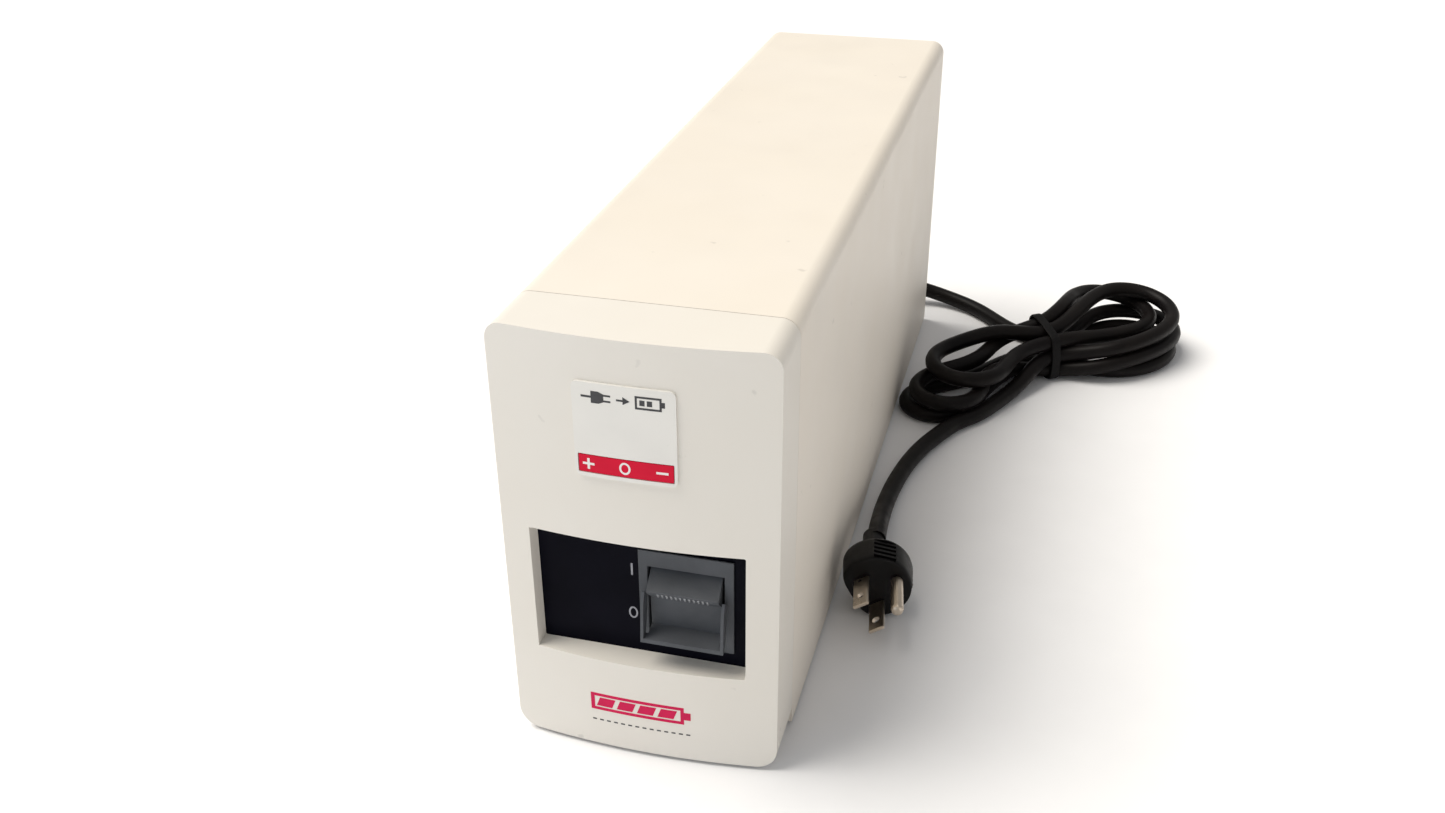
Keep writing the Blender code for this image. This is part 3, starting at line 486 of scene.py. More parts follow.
# Middle line of the hank's left half, and the turns there: way along it from the tie, distance off it
# (positive away from the case), height
MIDDLE = [(113.5, 141, 0), (103, 133.5, 0), (94, 124.5, 0), (86.5, 113, 0), (80, 99.5, 0), (73.5, 86, 0),
          (66.5, 73, 0), (58, 59, 0)]
LEFT = [
    [(14, 8, 3.9), (30, 7, 3.9), (44, 5, 3.9), (56, 5, 3.9), (66, 8, 3.9), (74, 12.5, 3.9), (81, 14, 3.9),
     (88, 9.5, 3.9), (91, 0, 3.9), (88.5, -10, 3.9), (81, -15, 3.9), (72, -15, 3.9), (63, -12, 3.9),
     (54, -9, 3.9), (42, -7, 3.9), (30, -6, 3.9), (16, -7, 3.9)],
    [(14, 10, 8), (28, 9, 11), (40, 5, 13), (52, 3, 13.5), (62, 5, 13), (71, 10.5, 12), (78, 13, 11.7),
     (85, 9.5, 11.7), (88, 0.5, 11.7), (85.5, -9, 11.9), (79, -15, 12.3), (71, -15.5, 12.8), (62, -9, 14.5),
     (51, -3, 16.5), (40, -1.5, 17.5), (26, -6, 20.5), (12, -13, 23)],
    [(14, 7, 19.5), (28, 9, 19), (40, 11, 19), (52, 13, 19.2), (61, 14, 19.6), (69, 11, 19.6),
     (75.5, 3.5, 19.8), (77, -4, 20), (73.5, -11, 20.3), (66, -15, 20.8), (55, -15, 21), (44, -14, 21.5),
     (32, -12, 22), (20, -7.5, 23), (10, -2.5, 22.5)],
]
# From the hank to the plug
TAIL = [
    (114, 128, 8), (108.5, 115, 5.5), (100, 101.5, 4.3), (91, 88, 3.9), (82.5, 74, 3.9), (75, 60, 3.9),
    (68.5, 46, 3.9), (64, 34, 3.9), (60.5, 21, 3.9), (58, 7, 3.9), (56.6, -7, 4.2), (56.2, -20, 5.4),
    (56.6, -32, 7.9), (57.3, -42, 10.8), (57.9, -50.5, 13.2), (58.8, -60.3, 14.8),
]
# Where each strand goes through the tie: across the bundle (positive to the front), and height
OUTWARD = [None, (-8.4, 5.2), (-7.0, 22.5), (1.2, 21.5)]
RETURN = [(0, 5.2), (8.4, 5.2), (8.2, 19.4), (8.6, 12.6)]
# Relaxing the cord: rounds, spacing of its points, least bend radius, and how far the spacing shrinks
ROUNDS, SPACING, LEAST_BEND, SHRINK = 500, 4.0, 23.0, 0.025
SINK, SINK_UNTIL = 0.004, 0.85
HOLD, HOLD_LEAST, HOLD_FADE, HOLD_UNTIL = 0.03, 0.15, 0.75, 0.92
BEND_SPAN, BEND_PUSH, STIFF_PUSH, PART_PUSH, PART_MOST, TIE_PULL = 12, 0.2, 0.5, 0.45, 1.6, 0.35
TIE_LIFT, TIE_REACH, CASE_GAP, CASE_END_Y = 1.3, 16, 0.3, 190
LEAD_FIXED, TAIL_FIXED = 10, 34


def in_tie(across, height):
    """A point in the tie's plane."""
    x, y = TIE_AT - TIE_N * across
    return (x, y, height)


def distances(points):
    """Distance along a polyline at each of its points."""
    return np.r_[0, np.cumsum(np.linalg.norm(np.diff(points, axis=0), axis=1))]


def evenly(points, spacing):
    along = distances(points)
    at = np.linspace(0, along[-1], int(round(along[-1] / spacing)) + 1)
    return np.stack([np.interp(at, along, points[:, i]) for i in range(3)], 1)


def through(points, spacing):
    """Points evenly along the Catmull-Rom curve through the given ones."""
    points = np.array(points, float)
    knots = np.vstack([2 * points[0] - points[1], points, 2 * points[-1] - points[-2]])
    out = []
    t = np.linspace(0, 1, 24, endpoint=False)[:, None]
    for a, b, c, d in zip(knots, knots[1:], knots[2:], knots[3:]):
        square, cube = 2 * a - 5 * b + 4 * c - d, 3 * b - a - 3 * c + d
        out.append(0.5 * (2 * b + (c - a) * t + square * t**2 + cube * t**3))
    return evenly(np.vstack([*out, points[-1:]]), spacing)


def left_turn(turn):
    """A left turn's points. The middle line has one every millimetre, and runs on straight past its end."""
    middle = through(MIDDLE, 1.0)[:, :2]
    points = []
    for along, aside, height in turn:
        k = min(int(round(along)), len(middle) - 2)
        ahead = middle[min(k + 2, len(middle) - 1)] - middle[max(k - 2, 0)]
        ahead /= np.linalg.norm(ahead)
        place = middle[k] + ahead * max(0, along - k) + np.array([-ahead[1], ahead[0]]) * aside
        points.append((*place, height))
    return points


def cord_route():
    """The given route, and its points in the tie."""
    points, tied = list(LEAD), []
    for turn, (outward, back) in enumerate(zip(OUTWARD, RETURN)):
        if outward:
            points.append(in_tie(*outward))
            tied.append(points[-1])
        points += RIGHT[turn]
        points.append(in_tie(*back))
        tied.append(points[-1])
        if turn < len(LEFT):
            points += left_turn(LEFT[turn])
    return points + TAIL, tied


def held_points(line, tied):
    """Which points of the line are the ones in the tie, found in order, and which never move."""
    held, last = [], 40
    for place in tied:
        away = np.linalg.norm(line - np.array(place), axis=1)
        away[: last + 1] = away[last + 110:] = 1e9
        last = int(np.argmin(away))
        held.append(last)
    from_lead = np.linalg.norm(line[:120] - np.array(LEAD[LEAD_FIXED]), axis=1)
    fixed = [*range(int(np.argmin(from_lead)) + 1), *range(len(line) - TAIL_FIXED, len(line))]
    return held, fixed


def stiffen(line, reach, step):
    """Evens out the bending, and opens bends tighter than the least radius."""
    lap, bi = np.zeros_like(line), np.zeros_like(line)
    lap[1:-1] = (line[:-2] + line[2:]) / 2 - line[1:-1]
    bi[1:-1] = (lap[:-2] + lap[2:]) / 2 - lap[1:-1]
    line -= STIFF_PUSH * bi
    for span in (reach, reach - 1):
        chord = line[2 * span:] - line[: -2 * span]
        length = np.linalg.norm(chord, axis=1)
        least = 2 * LEAST_BEND * math.sin(span * step / LEAST_BEND)
        push = np.where(length < least, (least - length) / length * BEND_PUSH, 0)[:, None] * chord
        line[: -2 * span] -= push
        line[2 * span:] += push


def space_out(line, rest):
    """Brings neighbouring points to the resting distance, even pairs first and then odd ones."""
    for _ in range(3):
        for odd in (0, 1):
            a, b = line[odd: len(line) - 1: 2], line[odd + 1: len(line): 2]
            many = min(len(a), len(b))
            a, b = a[:many], b[:many]
            gap = b - a
            length = np.linalg.norm(gap, axis=1, keepdims=True)
            pull = (length - rest) / length * 0.5 * gap
            a += pull
            b -= pull


def push_apart(line, first, second):
    """Parts the pairs of points that are nearer than the cord's diameter."""
    apart = line[second] - line[first]
    square = (apart**2).sum(1)
    hit = square < CORD_D**2
    if hit.any():
        one, two, apart = first[hit], second[hit], apart[hit]
        length = np.sqrt(square[hit])[:, None]
        push = (CORD_D - length) / length * PART_PUSH * apart
        moved, times = np.zeros_like(line), np.zeros(len(line))
        np.add.at(moved, one, -push)
        np.add.at(moved, two, push)
        np.add.at(times, one, 1)
        np.add.at(times, two, 1)
        line += moved / np.maximum(times, 1)[:, None] * np.minimum(times, PART_MOST)[:, None]


def keep_clear(line):
    """Keeps the cord on the table, with room for the strap under it, and outside the case."""
    radius = CORD_D / 2
    from_tie = np.linalg.norm(line[:, :2] - TIE_AT, axis=1)
    line[:, 2] = np.maximum(line[:, 2], radius + TIE_LIFT * np.exp(-((from_tie / TIE_REACH) ** 2)))
    beside = line[:, 1] < CASE_END_Y
    line[beside, 0] = np.maximum(line[beside, 0], CASE_W / 2 + radius + CASE_GAP)


def laid_cord():
    """The given route, relaxed as a stiff cord that can't pass through itself, the table or the case."""
    route, tied = cord_route()
    line = through(route, SPACING)
    start = line.copy()
    held, fixed = held_points(line, tied)
    step = np.linalg.norm(np.diff(line, axis=0), axis=1).mean()
    first, second = np.triu_indices(len(line), k=int(2.6 * CORD_D / step))
    reach = int(round(BEND_SPAN / step))
    for i in range(ROUNDS):
        t = i / ROUNDS
        line[:, 2] -= SINK if t < SINK_UNTIL else 0
        if t < HOLD_UNTIL:
            line += HOLD * max(HOLD_LEAST, 1 - t / HOLD_FADE) * (start - line)
        stiffen(line, reach, step)
        space_out(line, step * (1 - SHRINK * t))
        push_apart(line, first, second)
        keep_clear(line)
        line[held] += TIE_PULL * (start[held] - line[held])
        line[fixed] = start[fixed]
    for _ in range(4):
        line[1:-1] = (line[:-2] + 2 * line[1:-1] + line[2:]) / 4
        line[fixed] = start[fixed]
    return line


def mains_cord():
    """The cord as a curve with a round section, and the points along its middle."""
    line = laid_cord()
    fine = through(line[::2] if len(line) % 2 else np.vstack([line[::2], line[-1:]]), SPACING / 2)
    curve = bpy.data.curves.new("mains_cord", "CURVE")
    curve.dimensions, curve.bevel_depth, curve.bevel_resolution = "3D", mm(CORD_D / 2), 5
    curve.use_fill_caps = True
    spline = curve.splines.new("POLY")
    spline.points.add(len(fine) - 1)
    for point, place in zip(spline.points, fine):
        point.co = (*mm(*place), 1)
    spline.use_smooth = True
    obj = link(bpy.data.objects.new("mains_cord", curve))
    show(obj, cord_black(), "case", ("cord_lead", "cord_hank", "cord_tail"))
    return obj, fine


def hull_of(points):
    """Convex hull of plane points, anticlockwise."""
    points = sorted(map(tuple, points))
    half = []
    for run in (points, points[::-1]):
        chain = []
        for p in run:
            while len(chain) > 1 and (
                (chain[-1][0] - chain[-2][0]) * (p[1] - chain[-2][1])
                - (chain[-1][1] - chain[-2][1]) * (p[0] - chain[-2][0])
            ) <= 0:
                chain.pop()
            chain.append(p)
        half += chain[:-1]
    return half


def cord_strap(line):
    """Thin strap pulled tight round the strands where they cross the tie's plane."""
    near_tie, half_bundle, inside, outside, width, steps, above_table = 3.0, 30, 0.1, 1.15, 4.6, 96, 0.1
    flat = line[:, :2] - TIE_AT
    near = np.abs(flat @ TIE_U) < near_tie
    near &= np.abs(flat @ TIE_N) < half_bundle
    across, height = -(flat[near] @ TIE_N), line[near, 2]
    turn = np.linspace(0, 2 * math.pi, 24, endpoint=False)
    loops = []
    for grow in (inside, outside):
        reach = CORD_D / 2 + grow
        cloud = [(s + reach * math.cos(a), z + reach * math.sin(a))
                 for s, z in zip(across, height) for a in turn]
        hull = np.array([*hull_of(cloud)])
        closed = np.vstack([hull, hull[:1]])
        along = distances(closed)
        at = np.linspace(0, along[-1], steps, endpoint=False)
        loops.append(np.stack([np.interp(at, along, closed[:, i]) for i in range(2)], 1))
    bm = bmesh.new()
    rings = []
    profile = [(0.0, -0.5), (0.75, -0.5), (1.0, -0.36), (1.0, 0.36), (0.75, 0.5), (0.0, 0.5)]
    for low, high in zip(*loops):
        ring = []
        for out, side in profile:
            s, z = low * (1 - out) + high * out
            place = TIE_AT - TIE_N * s + TIE_U * (side * width)
            ring.append(bm.verts.new(mm(place[0], place[1], max(z, above_table))))
        rings.append(ring)
    for near_ring, far_ring in zip(rings, rings[1:] + rings[:1]):
        bridge(bm, near_ring, far_ring)
    black = finish("strap_black", (0.006, 0.0055, 0.006), 0.55, grain=(2500, 0.2), vary=0.2, mottle=200,
                   gloss=0.15)
    strap = settle(from_bmesh("cord_strap", bm), sharp=60)
    return show(strap, black, "case", ("cord_tie",))


def strain_boot():
    """Flange and tapered boot with moulded rings, over the first of the cord."""
    start = [(8, 182.95, 16), (8.05, 186, 16), (8.7, 190, 15.9), (11.4, 196.6, 15.5), (15.6, 201.2, 14.85)]
    flange_r, flange_end, ease = 8.8, 2.5, 0.4
    boot_r, taper, ring_from, ring_to, ring_pitch, ring_depth = 6.1, 1.5, 0.16, 0.93, 0.077, 0.75
    path = through(start, 0.35)
    along = distances(path)
    radii = []
    for s in along:
        if s < flange_end:
            radius = flange_r - 0.5 * max(0, (s - 1.9) / 0.6) - ease * max(0, (ease - s) / ease)
        else:
            t = (s - flange_end) / (along[-1] - flange_end)
            radius = boot_r - taper * t
            if ring_from < t < ring_to and int((t - ring_from) / ring_pitch) % 2 == 1:
                radius -= ring_depth
        radii.append(radius)
    radii[-1] -= ease
    boot = settle(sweep("strain_boot", path, radii, 40), weighted=False, sharp=30)
    return show(boot, plug_black(), "case", ("strain_relief",))


def plug_matrix():
    """Where the plug lies on the table: its face forward, its turn in plan and its roll about the cord."""
    yaw, roll = math.radians(PLUG_YAW), math.radians(PLUG_ROLL)
    right, up = Vector((math.cos(yaw), math.sin(yaw), 0)), Vector((0, 0, 1))
    to_ground = math.cos(roll) * right + math.sin(roll) * up
    across = math.sin(roll) * right - math.cos(roll) * up
    turned = Matrix((across, to_ground, across.cross(to_ground))).transposed().to_4x4()
    return Matrix.Translation(mm(*PLUG_AT)) @ turned


def plug_moulding():
    """Plug body: a D-shaped head that narrows to the cord, with a ribbed thumb recess on each side."""
    # Distance behind the face, scale of the head's outline, and how round the outline has become
    sections = [
        (0, 0.92, 0), (-0.4, 0.965, 0), (-1.1, 0.99, 0), (-2.4, 1, 0), (-7, 1.01, 0), (-11.5, 1.02, 0),
        (-13.2, 1.0, 0), (-14.3, 0.95, 0), (-15.1, 0.86, 0.05), (-15.6, 0.74, 0.2), (-15.9, 0.62, 0.5),
        (-16.4, 0.56, 0.8), (-17.5, 0.54, 1), (-22, 0.50, 1), (-23.4, 0.49, 1), (-24.2, 0.46, 1),
        (-24.7, 0.40, 1), (-25.4, 0.355, 1), (-28, 0.33, 1), (-35.8, 0.318, 1), (-36.4, 0.30, 1),
    ]
    sides, softness = 72, 1.6
    bm = bmesh.new()
    rings = []
    for z, scale, roundness in sections:
        flat = (PLUG_FLAT - PLUG_SHIFT) * (1 - roundness) - PLUG_R * roundness
        ring = []
        for i in range(sides):
            angle = 2 * math.pi * i / sides
            x, y = PLUG_R * math.cos(angle), PLUG_R * math.sin(angle)
            soft = flat + softness * math.log1p(math.exp((y - flat) / softness)) if y < flat + 9 else y
            shift = PLUG_SHIFT * min(1, scale / 0.6)
            ring.append(bm.verts.new(mm(x * scale, max(soft, flat) * scale + shift, z)))
        rings.append(ring)
    tube(bm, rings)
    body = from_bmesh("plug_moulding", bm)
    for number, turn in enumerate(THUMB_TURNS):
        a = math.radians(turn)
        out = Vector((math.cos(a), math.sin(a), 0))
        place = Matrix.Translation(mm(*(out * THUMB_OUT + Vector((0, PLUG_SHIFT, THUMB_AT)))))
        place = place @ Matrix.Rotation(a, 4, "Z")
        cutters = [(box(f"recess_{number}", (-3.2, -4.4, -5.4), (3.2, 4.4, 6.3)), "DIFFERENCE")]
        for k in range(4):
            z = -4.4 + 2.7 * k
            cutters.append((box(f"rib_{number}_{k}", (-3.6, -4.6, z - 0.6), (-2.2, 4.6, z + 0.6)), "UNION"))
        for cutter, operation in cutters:
            cutter.matrix_world = plug_matrix() @ place
            boolean(body, cutter, operation)
    body.matrix_world = plug_matrix()
    bevel(body, 0.35, 2, 45)
    settle(body, sharp=45)
    body.data.transform(body.matrix_world)
    body.matrix_world = Matrix()
    return show(body, plug_black(), "case", ("plug_body",))


# ---------------------------------------------------------------- case
def cover_shell():
    """Painted cover: one bent sheet with soft rear edges, and a lip turned in round the rear panel."""
    height, length = CASE_H - CASE_FLOOR, REAR_Y - SEAM_Y
    outline = rounded(CASE_W, height + 30, (TOP_RADIUS, TOP_RADIUS), 14)
    middle = (0, (REAR_Y + SEAM_Y) / 2 - 5, CASE_H - height / 2 - 15)
    cover = bevel(prism("cover_shell", outline, middle, "Y", length + 10), 2.4, 5)
    inner = rounded(2 * HALF_IN, 200, (3.5, 3.5), 8)
    boolean(cover, prism("c1", inner, (0, REAR_Y - WALL - 220, TOP_IN - 100), "Y", 440), "DIFFERENCE")
    lip = rounded(2 * (HALF_IN - REAR_LIP), 200, (2, 2), 6)
    boolean(cover, prism("c2", lip, (0, REAR_Y, TOP_IN - REAR_LIP - 100), "Y", 40), "DIFFERENCE")
    boolean(cover, box("c3", (-60, SEAM_Y - 40, -60), (60, SEAM_Y + 0.3, 200)), "DIFFERENCE")
    boolean(cover, box("c4", (-60, SEAM_Y - 50, -60), (60, REAR_Y + 20, CASE_FLOOR)), "DIFFERENCE")
    bevel(cover, 0.3, 2, 60)
    show(settle(cover), cream(), "case", ("outer_cover",))


def drafted_window():
    """Cutter that slopes the window's sill down and its left side out towards the front."""
    bm = bmesh.new()
    faces = []
    for y, left, drop in ((PANEL_Y - 0.5, 0.05, 0.05), (-190.0, 1.1, 1.7)):
        x0, x1, z0, z1 = -WINDOW_X - left, WINDOW_X - 0.2, WINDOW_Z0 - drop, WINDOW_Z1 - 0.2
        faces.append([bm.verts.new(mm(x, y, z)) for x, z in ((x0, z0), (x1, z0), (x1, z1), (x0, z1))])
    block(bm, *faces)
    return from_bmesh("b6", bm)


def bezel_shell():
    """Front moulding: bowed face, hollow behind, with a window and its sleeve back to the panel."""
    plan = [*front_arc(0, CASE_W / 2), (CASE_W / 2, SEAM_Y + 20), (-CASE_W / 2, SEAM_Y + 20)]
    middle_z = (CASE_H + CASE_FLOOR) / 2
    bezel = prism("bezel_shell", plan, (0, 0, middle_z), "Z", CASE_H - CASE_FLOOR)
    face = rounded(CASE_W, CASE_H - CASE_FLOOR, (FOOT_RADIUS, TOP_RADIUS), 14)
    boolean(bezel, prism("b1", face, (0, -170, middle_z), "Y", 90), "INTERSECT")
    bevel(bezel, 1.7, 5, 50)
    inner = [*front_arc(WALL, HALF_IN), (HALF_IN, -120), (-HALF_IN, -120)]
    hollow = prism("b2", inner, (0, 0, middle_z), "Z", CASE_H - CASE_FLOOR - 2 * WALL)
    sleeve = box("b3", (-WINDOW_X - SLEEVE_WALL, -200, WINDOW_Z0 - SLEEVE_WALL),
                 (WINDOW_X + SLEEVE_WALL, PANEL_Y - 0.3, WINDOW_Z1 + SLEEVE_WALL))
    boolean(hollow, sleeve, "DIFFERENCE")
    boolean(bezel, settle(hollow, False), "DIFFERENCE")
    boolean(bezel, box("b4", (-60, SEAM_Y, -20), (60, SEAM_Y + 40, 200)), "DIFFERENCE")
    opening = rounded(2 * WINDOW_X, WINDOW_Z1 - WINDOW_Z0, (0.6, 0.6), 4)
    boolean(bezel, prism("b5", opening, (0, -200, (WINDOW_Z0 + WINDOW_Z1) / 2), "Y", 70), "DIFFERENCE")
    boolean(bezel, drafted_window(), "DIFFERENCE")
    bevel(bezel, 0.35, 2, 60)
    show(settle(bezel), bezel_cream_painted_cool(), "case", ("front_bezel",))


def bent_plate(name, x, z, width, height, inner, outer, radius):
    """Plate on the bowed front, from one height above the face to another, with rounded corners."""
    half = width / 2 + abs(x) + 2
    plan = front_arc(-outer, half) + list(reversed(front_arc(-inner, half)))
    plate = prism(name, plan, (0, 0, z), "Z", height + 4)
    outline = rounded(width, height, (radius, radius), 6)
    return boolean(plate, prism(name + "_edge", outline, (x, FRONT_Y, z), "Y", 60), "INTERSECT")


def badge():
    """Square badge with a red band in a pocket across it."""
    back, face = LABEL_BACK - 0.4, LABEL_BACK + LABEL_T
    plate = bent_plate("badge_plate", LABEL_X, LABEL_Z, LABEL_SIZE, LABEL_SIZE, back, face, 2.0)
    outline = rounded(BAND_W + 0.5, BAND_H + 0.5, (0.3, 0.3), 2)
    boolean(plate, prism("band_pocket", outline, (LABEL_X, FRONT_Y, BAND_Z), "Y", 60), "DIFFERENCE")
    bevel(plate, 0.2, 3, 50)
    show(settle(plate), badge_white(), "case", ("label",))
    band = bent_plate("badge_band", LABEL_X, BAND_Z, BAND_W, BAND_H, back, face, 0.3)
    bevel(band, 0.1, 2, 50)
    show(settle(band), print_red(), "case", ("label_band",))


def printed(name, shapes, surface, material):
    """Thin ink from outlines in x and z, laid on a surface that gives y at each x.

    A shape is one outline, or a list of an outline and its holes. Each is filled by itself, since edges that
    two shapes share would spoil the filling, and cut into strips, so that it follows the bowed front.
    """
    thickness, lift, strip, snap, tiny = 0.05, 0.03, 0.0015, 2e-5, 1e-5
    bm = bmesh.new()
    for shape in shapes:
        part = filled(shape if isinstance(shape[0], list) else [shape], thickness)
        piece = bpy.data.meshes.new(name)
        part.to_mesh(piece)
        part.free()
        bm.from_mesh(piece)
        bpy.data.meshes.remove(piece)
    low, high = (pick(vert.co.x for vert in bm.verts) for pick in (min, max))
    for i in range(1, int((high - low) / strip)):
        cut = bm.verts[:] + bm.edges[:] + bm.faces[:]
        bmesh.ops.bisect_plane(bm, geom=cut, dist=snap, plane_co=(low + strip * i, 0, 0), plane_no=(1, 0, 0))
    bmesh.ops.remove_doubles(bm, verts=bm.verts, dist=tiny)
    bmesh.ops.dissolve_degenerate(bm, dist=tiny, edges=bm.edges)
    for vert in bm.verts:
        u, v, w = (c * 1000 for c in vert.co)
        vert.co = mm(u, surface(u) - lift - w, v)
    show(settle(from_bmesh(name, bm), False), material, "case", ())


def dense(loop, step=1.2):
    """The same outline with more points along its sides."""
    out = []
    for (x0, z0), (x1, z1) in zip(loop, loop[1:] + loop[:1]):
        count = max(1, math.ceil(math.dist((x0, z0), (x1, z1)) / step))
        out += [(x0 + (x1 - x0) * i / count, z0 + (z1 - z0) * i / count) for i in range(count)]
    return out


def bar(x0, z0, x1, z1, slant=0.0):
    return dense([(x0, z0), (x1, z0), (x1 + slant, z1), (x0 + slant, z1)])


def oval(x, z, width, height, steps=40):
    turn = [2 * math.pi * i / steps for i in range(steps)]
    return [(x + width / 2 * math.cos(a), z + height / 2 * math.sin(a)) for a in turn]


def moved(loop, x, z):
    return [(x + u, z + v) for u, v in loop]


def badge_y(x):
    return arc_y(x, LABEL_BACK + LABEL_T)


def badge_print():
    """On the badge a plug on its lead, an arrow and a battery. On the band a plus, a ring and a minus."""
    x, z = LABEL_X - 13.2, 135.5
    plug_head = [(3.2, 0.4), (5.6, 0.4), (7.2, 1.1), (7.2, 3.7), (5.6, 4.4), (3.2, 4.4)]
    arrow = [(11.2, 2.1), (13.2, 2.1), (13.2, 1.1), (15.4, 2.4), (13.2, 3.7), (13.2, 2.7), (11.2, 2.7)]
    battery = [(17.0, 0.2), (25.2, 0.2), (25.2, 4.6), (17.0, 4.6)]
    hollow = [(17.65, 0.85), (24.55, 0.85), (24.55, 3.95), (17.65, 3.95)]
    marks = [
        bar(x, z + 2.05, x + 3.2, z + 2.75), dense(moved(plug_head, x, z)),
        bar(x + 7.2, z + 1.15, x + 9.4, z + 1.75), bar(x + 7.2, z + 3.05, x + 9.4, z + 3.65),
        dense(moved(arrow, x, z)), [dense(moved(battery, x, z)), dense(moved(hollow, x, z))],
        bar(x + 25.2, z + 1.5, x + 26.2, z + 3.3),
        bar(x + 18.4, z + 1.5, x + 20.0, z + 3.3), bar(x + 20.7, z + 1.5, x + 22.3, z + 3.3),
    ]
    printed("badge_pictograms", marks, badge_y, print_grey())
    plus_x, ring_x, minus_x = LABEL_X - 11.9, LABEL_X - 0.2, LABEL_X + 11.6
    plus = [(-1.9, -0.4), (-0.4, -0.4), (-0.4, -1.9), (0.4, -1.9), (0.4, -0.4), (1.9, -0.4), (1.9, 0.4),
            (0.4, 0.4), (0.4, 1.9), (-0.4, 1.9), (-0.4, 0.4), (-1.9, 0.4)]
    marks = [moved(plus, plus_x, BAND_Z), [oval(ring_x, BAND_Z, 3.6, 4.2), oval(ring_x, BAND_Z, 2.3, 2.9)],
             bar(minus_x - 1.9, BAND_Z - 0.4, minus_x + 1.9, BAND_Z + 0.4)]
    printed("band_marks", marks, badge_y, print_white())


def bezel_print():
    """Low on the bezel, a bold battery with slanted cells and a dotted rule under it."""
    x0, x1, z0, z1 = -17.9, 14.9, 16.5, 23.6
    marks = [
        [dense([(x0, z0), (x1, z0), (x1, z1), (x0, z1)]),
         dense([(x0 + 1.4, z0 + 1.2), (x1 - 1.2, z0 + 1.2), (x1 - 1.2, z1 - 1.2), (x0 + 1.4, z1 - 1.2)])],
        bar(x1, z0 + 2.0, x1 + 2.3, z1 - 2.0),
    ]
    marks += [bar(x0 + 2.0 + 7.2 * i, z0 + 1.75, x0 + 7.6 + 7.2 * i, z1 - 1.75, 1.3) for i in range(4)]
    printed("bezel_pictogram", marks, arc_y, print_crimson())
    dots = [bar(-17.6 + 2.55 * i, 11.9, -16.2 + 2.55 * i, 12.45) for i in range(14)]
    printed("bezel_rule", dots, arc_y, print_grey())


def switch_print():
    """The on and off marks beside the switch."""
    x, z = -3.9, 54.2
    marks = [bar(-4.15, 69.2, -3.5, 73.8), [oval(x, z, 3.1, 4.6), oval(x, z, 2.0, 3.4)]]
    printed("switch_marks", marks, lambda x: PANEL_Y, print_mark())


def switch_bezel():
    """The switch's frame, with a tunnel behind it for the rocker."""
    back, front = PANEL_Y - 0.3, PANEL_Y - 0.3 - FRAME_T
    reach = MOUTH_W / 2 + TUNNEL_WALL

    def across(name, half, y0, y1, z0, z1):
        return box(name, (SWITCH_X - half, y0, z0), (SWITCH_X + half, y1, z1))

    body = across("switch_bezel", FRAME_W / 2, front, back, FRAME_Z0, FRAME_Z1)
    tunnel = across("s1", reach, front + 0.2, -170.0, MOUTH_Z0 - TUNNEL_WALL, MOUTH_Z1 + TUNNEL_WALL)
    mouth = across("s2", MOUTH_W / 2, -195, -160, MOUTH_Z0, MOUTH_Z1)
    boolean(boolean(body, tunnel, "UNION"), mouth, "DIFFERENCE")
    bevel(body, 0.22, 2, 50)
    show(settle(body), switch_grey(), "case", ("switch_frame",))


def rocker_key():
    """Rocker: a ramp, a ridge, a scoop with a lip at its foot, and two thin fins at the sides."""
    core = [
        (-179.6, 73.4), (-186.0, 67.9), (-185.6, 66.7), (-181.4, 62.6), (-180.9, 51.4), (-187.7, 49.9),
        (-187.9, 48.5), (-185.6, 48.3), (-184.7, 49.2), (-178.4, 49.4), (-175.0, 52.0), (-171.4, 57.5),
        (-170.9, 60.0), (-171.4, 62.5), (-174.6, 70.6), (-178.4, 73.6),
    ]
    fin = [(-184.9, 66.6), (-186.6, 62.6), (-187.8, 50.0), (-187.9, 48.5), (-185.6, 48.3), (-183.2, 56.0),
           (-182.0, 64.5)]
    lip = [(-187.75, 49.95), (-187.9, 48.5), (-185.6, 48.3), (-184.9, 50.3)]
    centre, thick = (SWITCH_X, 0, 0), 1.0
    rocker = prism("rocker_key", core, centre, "X", ROCKER_W)
    for side in (-1, 1):
        x = SWITCH_X + side * (CHEEK_W / 2 - thick / 2)
        boolean(rocker, prism(f"fin{side}", fin, (x, 0, 0), "X", thick), "UNION")
    boolean(rocker, prism("lip", lip, centre, "X", CHEEK_W - 0.2), "UNION")
    boolean(rocker, cylinder("bore", (SWITCH_X, PIVOT_Y, PIVOT_Z), "X", PIN_R + 0.15, 60), "DIFFERENCE")
    bevel(rocker, 0.22, 2, 40)
    show(settle(rocker), switch_grey(), "rocker", ("power_rocker",))


def rocker_teeth():
    """Row of small grip teeth under the rocker's ridge."""
    count, pitch, wide, narrow, top, foot = 12, 1.5, 0.38, 0.22, (-185.75, 66.95), (-184.9, 65.3)
    bm = bmesh.new()
    for i in range(count):
        x = SWITCH_X - (count - 1) / 2 * pitch + pitch * i
        tooth = [(x - wide, *top), (x + wide, *top), (x + narrow, *foot), (x - narrow, *foot)]
        front = [bm.verts.new(mm(a, b - 0.1, c)) for a, b, c in tooth]
        back = [bm.verts.new(mm(a, b + 1.0, c + 0.5)) for a, b, c in tooth]
        block(bm, front, back)
    teeth = bevel(from_bmesh("rocker_teeth", bm), 0.08, 2, 30)
    # Painted highlight: the teeth are a much lighter grey than the rocker, standing in for the glints along
    # the grip teeth.
    painted_highlight = finish("teeth_painted_highlight", (0.30, 0.31, 0.33), 0.35, grain=(1500, 0.1), vary=0.2, mottle=400)
    show(settle(teeth), painted_highlight, "rocker", ())


